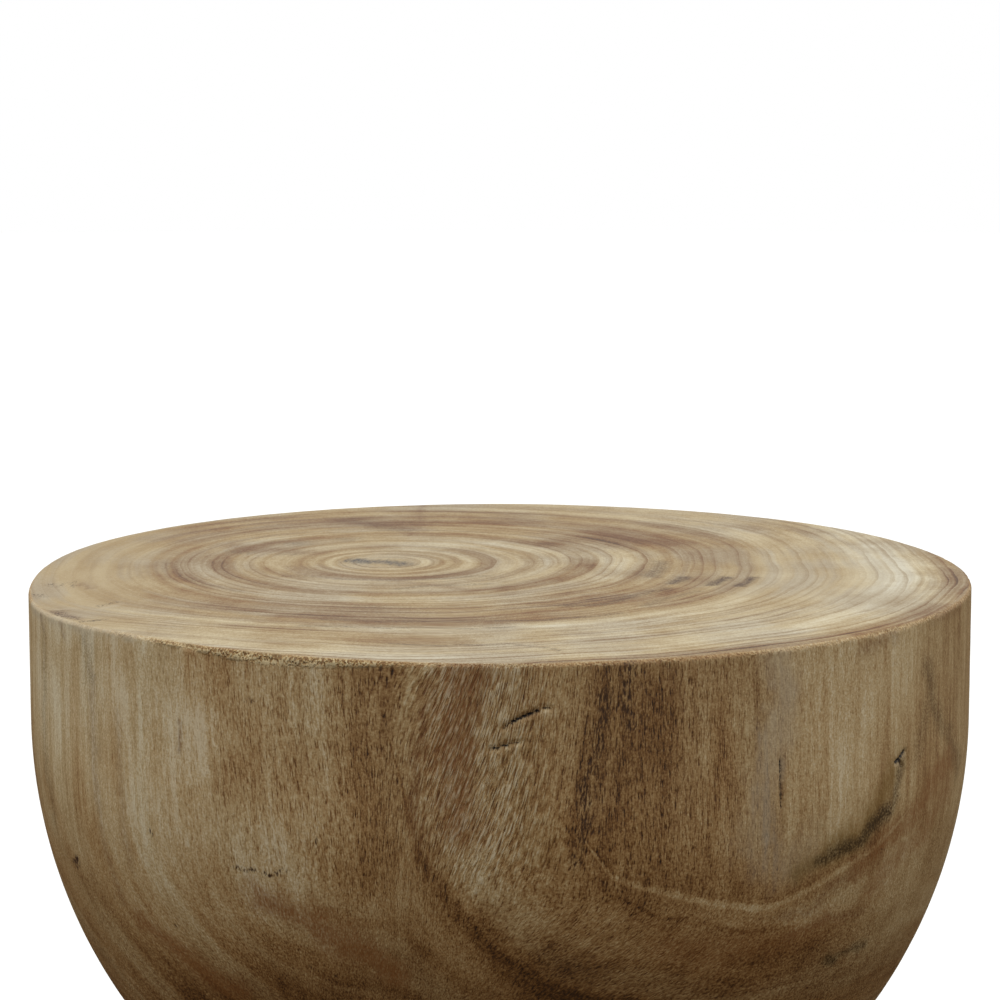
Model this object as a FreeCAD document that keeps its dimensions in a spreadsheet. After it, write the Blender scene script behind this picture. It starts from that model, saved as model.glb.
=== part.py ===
import FreeCAD, Part
import math
import os
import Sketcher

# Hourglass stool table, turned from one log and standing on four nail-on felt glides.
# Millimetres, +Z up. The origin is the point of the floor under the middle of the stool, and +Z is
# the axis that the log was turned about. From the floor up there are the felt pads, the cups that
# hold them, the nails that hold the cups, and the turned block.

# Driving dimensions by alias: lengths in millimetres, angles in degrees.
SIZES = {
    # the turned block
    "stool_height": 450.0,
    "seat_diameter": 350.0,
    "rim_round": 3.5,
    "foot_round": 4.0,
    "band_height": 50.0,
    "bowl_radius": 190.0,
    "bowl_sweep": 40.0,
    # where the glides stand under the foot
    "glide_count": 4,
    "glide_inset": 40.0,
    "first_glide_angle": 45.0,
    # felt pad
    "felt_diameter": 20.0,
    "felt_thickness": 3.5,
    "felt_clearance": 0.2,
    # cup
    "cup_wall": 1.8,
    "cup_floor": 2.4,
    "cup_lip": 2.0,
    "cup_round": 0.8,
    # nail, and the hole that it is driven into
    "nail_head_diameter": 5.5,
    "nail_head_height": 1.1,
    "nail_head_clearance": 0.1,
    "nail_shank_diameter": 2.0,
    "nail_shank_length": 18.0,
    "nail_tip_length": 3.0,
    "nail_fit_clearance": 0.04,
    "pilot_end_clearance": 1.0,
    "pilot_point_angle": 118.0,
}

# Sizes that follow from the driving ones, as expressions of the sheet.
SEAT_RADIUS = "(Sizes.seat_diameter / 2)"
TOP_LEVEL = "Sizes.stool_height"
FOOT_LEVEL = "(Sizes.felt_thickness + Sizes.cup_floor)"
MIDDLE_LEVEL = f"(({TOP_LEVEL} + {FOOT_LEVEL}) / 2)"
BAND_END = f"({TOP_LEVEL} - Sizes.band_height)"
FOOT_BAND_END = f"({FOOT_LEVEL} + Sizes.band_height)"
SWEEP_COSINE = "cos(Sizes.bowl_sweep * 1 deg)"
SWEEP_SINE = "sin(Sizes.bowl_sweep * 1 deg)"
BOWL_END = f"({BAND_END} - Sizes.bowl_radius * {SWEEP_SINE})"
WAIST_ROUND = f"(({BOWL_END} - {MIDDLE_LEVEL}) / {SWEEP_SINE})"
BOWL_CENTRE = f"({SEAT_RADIUS} - Sizes.bowl_radius)"
WAIST_CENTRE = f"({BOWL_CENTRE} + (Sizes.bowl_radius + {WAIST_ROUND}) * {SWEEP_COSINE})"

GLIDE_RADIUS = f"({SEAT_RADIUS} - Sizes.glide_inset)"
POCKET_RADIUS = "(Sizes.felt_diameter / 2 + Sizes.felt_clearance)"
CUP_RADIUS = f"({POCKET_RADIUS} + Sizes.cup_wall)"
CUP_MOUTH = "(Sizes.felt_thickness - Sizes.cup_lip)"
HEAD_RADIUS = "(Sizes.nail_head_diameter / 2)"
HEAD_SEAT_RADIUS = f"({HEAD_RADIUS} + Sizes.nail_head_clearance)"
HEAD_TOP = "(Sizes.felt_thickness + Sizes.nail_head_height)"
SHANK_RADIUS = "(Sizes.nail_shank_diameter / 2)"
NAIL_POINT = f"({HEAD_TOP} + Sizes.nail_shank_length)"
NAIL_SHOULDER = f"({NAIL_POINT} - Sizes.nail_tip_length)"
NAIL_HOLE_RADIUS = f"({SHANK_RADIUS} + Sizes.nail_fit_clearance)"
PILOT_DEPTH = f"({NAIL_POINT} - {FOOT_LEVEL} + Sizes.pilot_end_clearance)"

FULL_TURN = 360
HALF_TURN = math.pi
QUARTER_TURN = math.pi / 2

# The sketcher numbers the points of a line or arc from 1, and its origin and upright axis from -1 down.
START, END, CENTRE = range(1, 4)
ORIGIN, UPRIGHT_AXIS = range(-1, -3, -1)

doc = FreeCAD.newDocument("StoolTable")


def make_sheet():
    """The sheet of driving dimensions: a name, its value and the alias on that value."""
    sheet = doc.addObject("Spreadsheet::Sheet", "Sizes")
    for row, (alias, size) in enumerate(SIZES.items(), start=1):
        sheet.set(f"A{row}", alias)
        sheet.set(f"B{row}", str(size))
        sheet.setAlias(f"B{row}", alias)
    doc.recompute()
    return sheet


def value(expression):
    """What an expression of the sheet comes to now, as a plain number."""
    result = sizes.evalExpression(expression)
    return float(getattr(result, "Value", result))


def glide_angle(number):
    """The angle round the foot of one glide, as an expression."""
    return f"((Sizes.first_glide_angle + {number} * {FULL_TURN} / Sizes.glide_count) * 1 deg)"


def origin_feature(body, role):
    """One of a body's own origin planes or axes."""
    return next(f for f in body.Origin.OriginFeatures if f.Role == role)


def new_body(label):
    """An empty body whose label names the piece."""
    body = doc.addObject("PartDesign::Body", label)
    body.Label = label
    return body


def sketch_on(body, role, name):
    """A sketch on one of the body's own origin planes."""
    sketch = body.newObject("Sketcher::SketchObject", name)
    sketch.AttachmentSupport = [(origin_feature(body, role), "")]
    sketch.MapMode = "FlatFace"
    return sketch


def relate(sketch, *terms):
    """Adds a constraint that has no size, such as tangent or level."""
    sketch.addConstraint(Sketcher.Constraint(*terms))


def dimension(sketch, expression, *terms):
    """Adds a constraint whose size is tied to the sheet."""
    index = sketch.addConstraint(Sketcher.Constraint(*terms, value(expression)))
    sketch.setExpression(f"Constraints[{index}]", expression)


def add_line(sketch, start, end):
    """Adds a line between two points, each a radius and a level in expressions."""
    ends = [FreeCAD.Vector(value(radius), value(level), 0) for radius, level in (start, end)]
    return sketch.addGeometry(Part.LineSegment(*ends), False)


def add_arc(sketch, centre, radius, first_angle, last_angle):
    """Adds an arc that runs anticlockwise between two angles in radians."""
    middle = FreeCAD.Vector(value(centre[0]), value(centre[1]), 0)
    circle = Part.Circle(middle, FreeCAD.Vector(0, 0, 1), value(radius))
    return sketch.addGeometry(Part.ArcOfCircle(circle, first_angle, last_angle), False)


def revolve(body, sketch):
    """Turns a half outline right round the upright axis of its sketch."""
    turned = body.newObject("PartDesign::Revolution", "Turning")
    turned.Profile = sketch
    turned.ReferenceAxis = (sketch, ["V_Axis"])
    turned.Angle = FULL_TURN
    doc.recompute()
    return turned


def draw_corners(sketch, corners):
    """Draws a closed outline of straight lines through corners, each a radius and a level."""
    following = corners[1:] + corners[:1]
    lines = [add_line(sketch, start, end) for start, end in zip(corners, following)]
    for line, after in zip(lines, lines[1:] + lines[:1]):
        relate(sketch, "Coincident", line, END, after, START)
    for line, (radius, level) in zip(lines, corners):
        if radius == "0":
            relate(sketch, "PointOnObject", line, START, UPRIGHT_AXIS)
        else:
            dimension(sketch, radius, "DistanceX", ORIGIN, START, line, START)
        dimension(sketch, level, "DistanceY", ORIGIN, START, line, START)


def draw_block_outline(sketch):
    """Draws half of the turned block's outline, from the seat's middle round to the foot's middle.

    The upright band under the rim runs tangent into the bowl's arc, and the bowl into a hollow
    waist at mid height. The lower half mirrors the upper one.
    """
    sweep = math.radians(value("Sizes.bowl_sweep"))
    rim_centre = (f"({SEAT_RADIUS} - Sizes.rim_round)", f"({TOP_LEVEL} - Sizes.rim_round)")
    foot_centre = (f"({SEAT_RADIUS} - Sizes.foot_round)", f"({FOOT_LEVEL} + Sizes.foot_round)")

    seat = add_line(sketch, ("0", TOP_LEVEL), (rim_centre[0], TOP_LEVEL))
    rim = add_arc(sketch, rim_centre, "Sizes.rim_round", 0, QUARTER_TURN)
    band = add_line(sketch, (SEAT_RADIUS, rim_centre[1]), (SEAT_RADIUS, BAND_END))
    bowl = add_arc(sketch, (BOWL_CENTRE, BAND_END), "Sizes.bowl_radius", -sweep, 0)
    waist_centre = (WAIST_CENTRE, MIDDLE_LEVEL)
    waist = add_arc(sketch, waist_centre, WAIST_ROUND, HALF_TURN - sweep, HALF_TURN + sweep)
    foot_bowl = add_arc(sketch, (BOWL_CENTRE, FOOT_BAND_END), "Sizes.bowl_radius", 0, sweep)
    foot_band = add_line(sketch, (SEAT_RADIUS, FOOT_BAND_END), (SEAT_RADIUS, foot_centre[1]))
    foot = add_arc(sketch, foot_centre, "Sizes.foot_round", -QUARTER_TURN, 0)
    sole = add_line(sketch, (foot_centre[0], FOOT_LEVEL), ("0", FOOT_LEVEL))
    axis = add_line(sketch, ("0", FOOT_LEVEL), ("0", TOP_LEVEL))

    relate(sketch, "Tangent", seat, END, rim, END)
    relate(sketch, "Tangent", rim, START, band, START)
    relate(sketch, "Tangent", band, END, bowl, END)
    relate(sketch, "Tangent", bowl, START, waist, START)
    relate(sketch, "Tangent", waist, END, foot_bowl, END)
    relate(sketch, "Tangent", foot_bowl, START, foot_band, START)
    relate(sketch, "Tangent", foot_band, END, foot, END)
    relate(sketch, "Tangent", foot, START, sole, START)
    relate(sketch, "Coincident", sole, END, axis, START)
    relate(sketch, "Coincident", axis, END, seat, START)
    relate(sketch, "PointOnObject", seat, START, UPRIGHT_AXIS)
    relate(sketch, "PointOnObject", sole, END, UPRIGHT_AXIS)
    relate(sketch, "Horizontal", seat)
    relate(sketch, "Horizontal", sole)
    relate(sketch, "Vertical", band)
    relate(sketch, "Vertical", foot_band)
    relate(sketch, "Equal", bowl, foot_bowl)
    dimension(sketch, TOP_LEVEL, "DistanceY", ORIGIN, START, seat, START)
    dimension(sketch, FOOT_LEVEL, "DistanceY", ORIGIN, START, sole, END)
    dimension(sketch, SEAT_RADIUS, "DistanceX", ORIGIN, START, band, END)
    dimension(sketch, SEAT_RADIUS, "DistanceX", ORIGIN, START, foot_band, START)
    dimension(sketch, BAND_END, "DistanceY", ORIGIN, START, band, END)
    dimension(sketch, FOOT_BAND_END, "DistanceY", ORIGIN, START, foot_band, START)
    dimension(sketch, "Sizes.rim_round", "Radius", rim)
    dimension(sketch, "Sizes.foot_round", "Radius", foot)
    dimension(sketch, "Sizes.bowl_radius", "Radius", bowl)
    dimension(sketch, WAIST_ROUND, "Radius", waist)


def drill_pilot_holes(body):
    """Drills one blind hole for a nail up into the foot and repeats it at each glide."""
    sketch = sketch_on(body, "XY_Plane", "PilotCentre")
    sketch.setExpression("AttachmentOffset.Base.z", FOOT_LEVEL)
    along = f"({GLIDE_RADIUS} * cos({glide_angle(0)}))"
    across = f"({GLIDE_RADIUS} * sin({glide_angle(0)}))"
    middle = FreeCAD.Vector(value(along), value(across), 0)
    mark = Part.Circle(middle, FreeCAD.Vector(0, 0, 1), value(NAIL_HOLE_RADIUS))
    circle = sketch.addGeometry(mark, False)
    dimension(sketch, along, "DistanceX", ORIGIN, START, circle, CENTRE)
    dimension(sketch, across, "DistanceY", ORIGIN, START, circle, CENTRE)
    dimension(sketch, NAIL_HOLE_RADIUS, "Radius", circle)
    doc.recompute()

    hole = body.newObject("PartDesign::Hole", "PilotHole")
    hole.Profile = sketch
    hole.Reversed = True
    hole.DepthType = "Dimension"
    hole.DrillPoint = "Angled"
    hole.setExpression("Diameter", f"2 * {NAIL_HOLE_RADIUS}")
    hole.setExpression("Depth", PILOT_DEPTH)
    hole.setExpression("DrillPointAngle", "Sizes.pilot_point_angle")
    doc.recompute()

    pattern = body.newObject("PartDesign::PolarPattern", "PilotHoles")
    pattern.Originals = [hole]
    pattern.Axis = (origin_feature(body, "Z_Axis"), [""])
    pattern.Angle = FULL_TURN
    pattern.setExpression("Occurrences", "Sizes.glide_count")
    body.Tip = pattern
    doc.recompute()


def turned_block():
    """The stool itself, one piece of wood from seat to foot."""
    body = new_body("turned_block")
    sketch = sketch_on(body, "XZ_Plane", "BlockOutline")
    draw_block_outline(sketch)
    revolve(body, sketch)
    drill_pilot_holes(body)
    return body


def felt_pad(number):
    """The disc of felt that a glide stands on."""
    body = new_body(f"felt_pad_{number}")
    sketch = sketch_on(body, "XY_Plane", "FeltOutline")
    edge = Part.Circle(FreeCAD.Vector(), FreeCAD.Vector(0, 0, 1), value("Sizes.felt_diameter / 2"))
    circle = sketch.addGeometry(edge, False)
    relate(sketch, "Coincident", circle, CENTRE, ORIGIN, START)
    dimension(sketch, "Sizes.felt_diameter / 2", "Radius", circle)
    disc = body.newObject("PartDesign::Pad", "Disc")
    disc.Profile = sketch
    disc.setExpression("Length", "Sizes.felt_thickness")
    return body


def glide_cup(number):
    """The moulded cup that holds a felt pad, with a seat for the nail's head in its floor."""
    body = new_body(f"glide_cup_{number}")
    sketch = sketch_on(body, "XZ_Plane", "CupOutline")
    corners = [
        (NAIL_HOLE_RADIUS, FOOT_LEVEL),
        (CUP_RADIUS, FOOT_LEVEL),
        (CUP_RADIUS, CUP_MOUTH),
        (POCKET_RADIUS, CUP_MOUTH),
        (POCKET_RADIUS, "Sizes.felt_thickness"),
        (HEAD_SEAT_RADIUS, "Sizes.felt_thickness"),
        (HEAD_SEAT_RADIUS, HEAD_TOP),
        (NAIL_HOLE_RADIUS, HEAD_TOP),
    ]
    draw_corners(sketch, corners)
    turned = revolve(body, sketch)
    mouth = FreeCAD.Vector(0, 0, value(CUP_MOUTH))
    rounded = body.newObject("PartDesign::Fillet", "MouthRound")
    rounded.Base = (turned, [circle_edge(turned.Shape, mouth, value(CUP_RADIUS))])
    rounded.setExpression("Radius", "Sizes.cup_round")
    return body


def circle_edge(shape, centre, radius):
    """The name of a shape's round edge about a point of the upright axis, with a given radius."""
    for number, edge in enumerate(shape.Edges, start=1):
        curve = edge.Curve
        if isinstance(curve, Part.Circle) and curve.Center.isEqual(centre, Part.Precision.confusion()):
            if math.isclose(curve.Radius, radius):
                return f"Edge{number}"
    raise ValueError("the shape has no such edge")


def glide_nail(number):
    """The wire nail that holds a cup to the foot, driven up into its pilot hole."""
    body = new_body(f"glide_nail_{number}")
    sketch = sketch_on(body, "XZ_Plane", "NailOutline")
    corners = [
        ("0", "Sizes.felt_thickness"),
        (HEAD_RADIUS, "Sizes.felt_thickness"),
        (HEAD_RADIUS, HEAD_TOP),
        (SHANK_RADIUS, HEAD_TOP),
        (SHANK_RADIUS, NAIL_SHOULDER),
        ("0", NAIL_POINT),
    ]
    draw_corners(sketch, corners)
    revolve(body, sketch)
    return body


def stand_at_glide(body, number):
    """Stands a piece of a glide at its place on the glide circle."""
    angle = glide_angle(number)
    body.setExpression("Placement.Base.x", f"{GLIDE_RADIUS} * cos({angle})")
    body.setExpression("Placement.Base.y", f"{GLIDE_RADIUS} * sin({angle})")
    return body


def build_pieces():
    """Every piece of the stool, each a body of its own."""
    pieces = [turned_block()]
    for index in range(SIZES["glide_count"]):
        for make_piece in (felt_pad, glide_cup, glide_nail):
            pieces.append(stand_at_glide(make_piece(index + 1), index))
    doc.recompute()
    return pieces


def check(pieces):
    """Stops if a feature failed or a piece isn't one valid solid."""
    for feature in doc.Objects:
        if {"Invalid", "Error"} & set(feature.State):
            raise RuntimeError(f"{feature.Label} failed: {feature.State}")
    for piece in pieces:
        if piece.Shape.isNull() or not piece.Shape.isValid() or len(piece.Shape.Solids) != 1:
            raise RuntimeError(f"{piece.Label} isn't one valid solid")


def export(pieces):
    """Writes each piece to a file that has its label as a name."""
    os.makedirs("parts", exist_ok=True)
    for piece in pieces:
        piece.Shape.exportStep(f"parts/{piece.Label}.step")
        print(f"{piece.Label}: {piece.Shape.Volume:.1f} mm3")


sizes = make_sheet()
stool = build_pieces()
check(stool)
export(stool)
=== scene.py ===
"""Stool table turned from one length of a log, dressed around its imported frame.

Lengths are in millimetres until a mesh is made, which is in metres. An azimuth
is counted from the front (-Y) towards +X, and an arc is an azimuth along the rim.
"""

import itertools
import logging
import math
from dataclasses import dataclass
from enum import Enum, IntEnum
from typing import Callable, Sequence, Union

import bpy
import numpy as np
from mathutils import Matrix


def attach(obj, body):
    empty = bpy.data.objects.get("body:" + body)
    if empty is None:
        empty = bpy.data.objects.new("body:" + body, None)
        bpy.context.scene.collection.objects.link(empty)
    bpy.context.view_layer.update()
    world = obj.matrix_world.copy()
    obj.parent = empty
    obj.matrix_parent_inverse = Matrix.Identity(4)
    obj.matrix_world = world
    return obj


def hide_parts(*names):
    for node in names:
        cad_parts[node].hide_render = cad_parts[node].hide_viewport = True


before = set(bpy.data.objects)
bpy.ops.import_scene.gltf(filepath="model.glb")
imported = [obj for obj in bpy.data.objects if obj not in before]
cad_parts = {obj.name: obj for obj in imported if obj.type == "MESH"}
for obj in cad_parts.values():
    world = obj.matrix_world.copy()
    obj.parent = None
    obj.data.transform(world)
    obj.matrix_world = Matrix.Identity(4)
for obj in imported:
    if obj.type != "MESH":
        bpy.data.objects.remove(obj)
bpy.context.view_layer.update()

LOG = logging.getLogger("stool_table")
MM = 0.001
ROUND_STEPS = 6

Value = Union[bpy.types.NodeSocket, float, tuple]
Stops = Sequence[tuple[float, Union[float, str]]]
Pair = tuple[float, float]
Triple = tuple[float, float, float]
Path = tuple[Pair, ...]
Sockets = dict[str, bpy.types.NodeSocket]
Adder = Callable[..., bpy.types.NodeSocket]

# Odd numbers that scatter the places of a lattice over all 32-bit words.
HASH_PLACE = np.array([73856093, 19349663, 83492791])
HASH_SEED = 2654435761
HASH_MIX = 0x45D9F3B
HASH_WORD = 0xFFFFFFFF


class Seed(IntEnum):
    """Seeds of the noise, one for each use."""

    SLOW_ACROSS = 3
    SLOW_UP = 4
    FINE_ACROSS = 5
    FINE_UP = 6
    PATCHY = 11
    HOLLOW = 21
    RIPPLE = 22
    CHIP = 23
    CHUNK = 24
    FIBRE_DRIFT = 31
    FELT_HAIR = 40
    FELT_SWELL = 50


def linear(code: str) -> tuple[float, float, float, float]:
    """Turns an sRGB hex colour such as "#8A6A45" into linear RGBA."""
    shares = np.array([int(code[start:start + 2], 16) for start in (1, 3, 5)]) / 255.0
    curve = np.where(shares <= 0.04045, shares / 12.92, ((shares + 0.055) / 1.055) ** 2.4)
    return (*curve.tolist(), 1.0)


def smooth(low: float, high: float, value: np.ndarray) -> np.ndarray:
    """A soft step: 0 below low, 1 above high, and 3t^2 - 2t^3 between them."""
    share = np.clip((value - low) / (high - low), 0.0, 1.0)
    return share * share * (3.0 - 2.0 * share)


def window(value: np.ndarray, rise: tuple, fall: tuple) -> np.ndarray:
    """A soft step up over the rise, times a soft step down over the fall."""
    return smooth(*rise, value) * (1.0 - smooth(*fall, value))


def bell(value: np.ndarray, centre: float, width: float, power: int = 2) -> np.ndarray:
    """A bell curve: 1 at the centre, 1/e at the half width, flatter on top for a higher power."""
    return np.exp(-(((value - centre) / width) ** power))


def running_sum(close: np.ndarray) -> np.ndarray:
    """Sum of a curve up to each of its samples, from 0, by the mean of neighbours."""
    return np.concatenate([[0.0], np.cumsum((close[1:] + close[:-1]) / 2.0)])


def lattice_noise(points: np.ndarray, cell: float, seed: int) -> np.ndarray:
    """Smooth value noise from -1 to 1.

    Each corner of a lattice gets a number hashed from its place and the seed, and
    a point blends its cell's eight corners with the fade 6t^5 - 15t^4 + 10t^3.

    Args:
        points: Places as an array of rows x, y, z.
        cell: The lattice's spacing, in the unit of the points.
        seed: Picks another pattern.

    Returns:
        One number for each point.
    """
    scaled = points / cell
    base = np.floor(scaled).astype(np.int64)
    part = scaled - base
    fade = part ** 3 * (part * (part * 6.0 - 15.0) + 10.0)
    total = np.zeros(len(points))
    for corner in itertools.product((0, 1), repeat=3):
        key = (base + corner) @ HASH_PLACE
        key = (key ^ (seed * HASH_SEED)) & HASH_WORD
        for _ in range(2):
            key = ((key ^ (key >> 16)) * HASH_MIX) & HASH_WORD
        worth = (key ^ (key >> 16)) / HASH_WORD
        total += worth * np.where(corner, fade, 1.0 - fade).prod(axis=1)
    return total * 2.0 - 1.0


def gap_to(at: np.ndarray, path: Path) -> np.ndarray:
    """Distance from points to a line drawn on the surface.

    Each point is dropped onto every leg of the path, and the nearest foot counts.

    Args:
        at: Points as rows of two coordinates.
        path: The line's corners in the same coordinates.

    Returns:
        A distance for each point.
    """
    corners = np.array(path, float)
    start, leg = corners[:-1], np.diff(corners, axis=0)
    offset = at[:, None] - start
    along = (offset * leg).sum(-1) / np.maximum((leg ** 2).sum(-1), 1e-9)
    foot = np.clip(along, 0.0, 1.0)[..., None] * leg
    return np.linalg.norm(offset - foot, axis=-1).min(axis=1)


@dataclass
class Graph:
    """A node tree while it is put together."""

    tree: bpy.types.NodeTree

    def add(
        self,
        kind: str,
        inputs: dict[Union[int, str], Value] | None = None,
        out: Union[int, str] = 0,
        stops: Stops = (),
        **settings: object,
    ) -> bpy.types.NodeSocket | None:
        """Adds a node with its settings and links.

        Args:
            kind: The node's type, without its ShaderNode prefix.
            inputs: For an input's name or place, a socket to link or a value to set.
            out: The output that is handed back.
            stops: A ramp's positions with a grey value or an sRGB hex colour each.
            settings: The node's own properties.

        Returns:
            The chosen output, or None where the node has no output.
        """
        made = self.tree.nodes.new("ShaderNode" + kind)
        for key, value in settings.items():
            setattr(made, key, value)
        for key, value in (inputs or {}).items():
            if isinstance(value, bpy.types.NodeSocket):
                self.tree.links.new(value, made.inputs[key])
            else:
                made.inputs[key].default_value = value
        for number, (place, tone) in enumerate(stops):
            ramp = made.color_ramp.elements
            stop = ramp[number] if number < 2 else ramp.new(place)
            stop.position = place
            stop.color = linear(tone) if isinstance(tone, str) else (tone, tone, tone, 1.0)
        return made.outputs[out] if len(made.outputs) else None


def new_material(name: str) -> tuple[bpy.types.Material, Graph]:
    """An empty node material and the graph of its tree."""
    material = bpy.data.materials.new(name)
    material.use_nodes = True
    material.node_tree.nodes.clear()
    return material, Graph(material.node_tree)


class Stain(Enum):
    """Natural marks of the wood, and painted shade low on the bowl and inside the cracks, each kept as an
    attribute of the block's mesh.
    """

    TONE = "tone"
    DARK = "dark"
    GREY = "grey"
    RED = "red"
    RUST = "rust"
    OLIVE = "olive"
    GOLD = "gold"
    SMOKE = "smoke"
    PITH = "pith"
    CRACK = "crack"


@dataclass(frozen=True)
class Mark:
    """One mark, natural in most cases and painted shade in a few: how far it reaches from its line, how
    strong it is and the line.
    """

    reach: float
    strength: float
    path: Path


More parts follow.
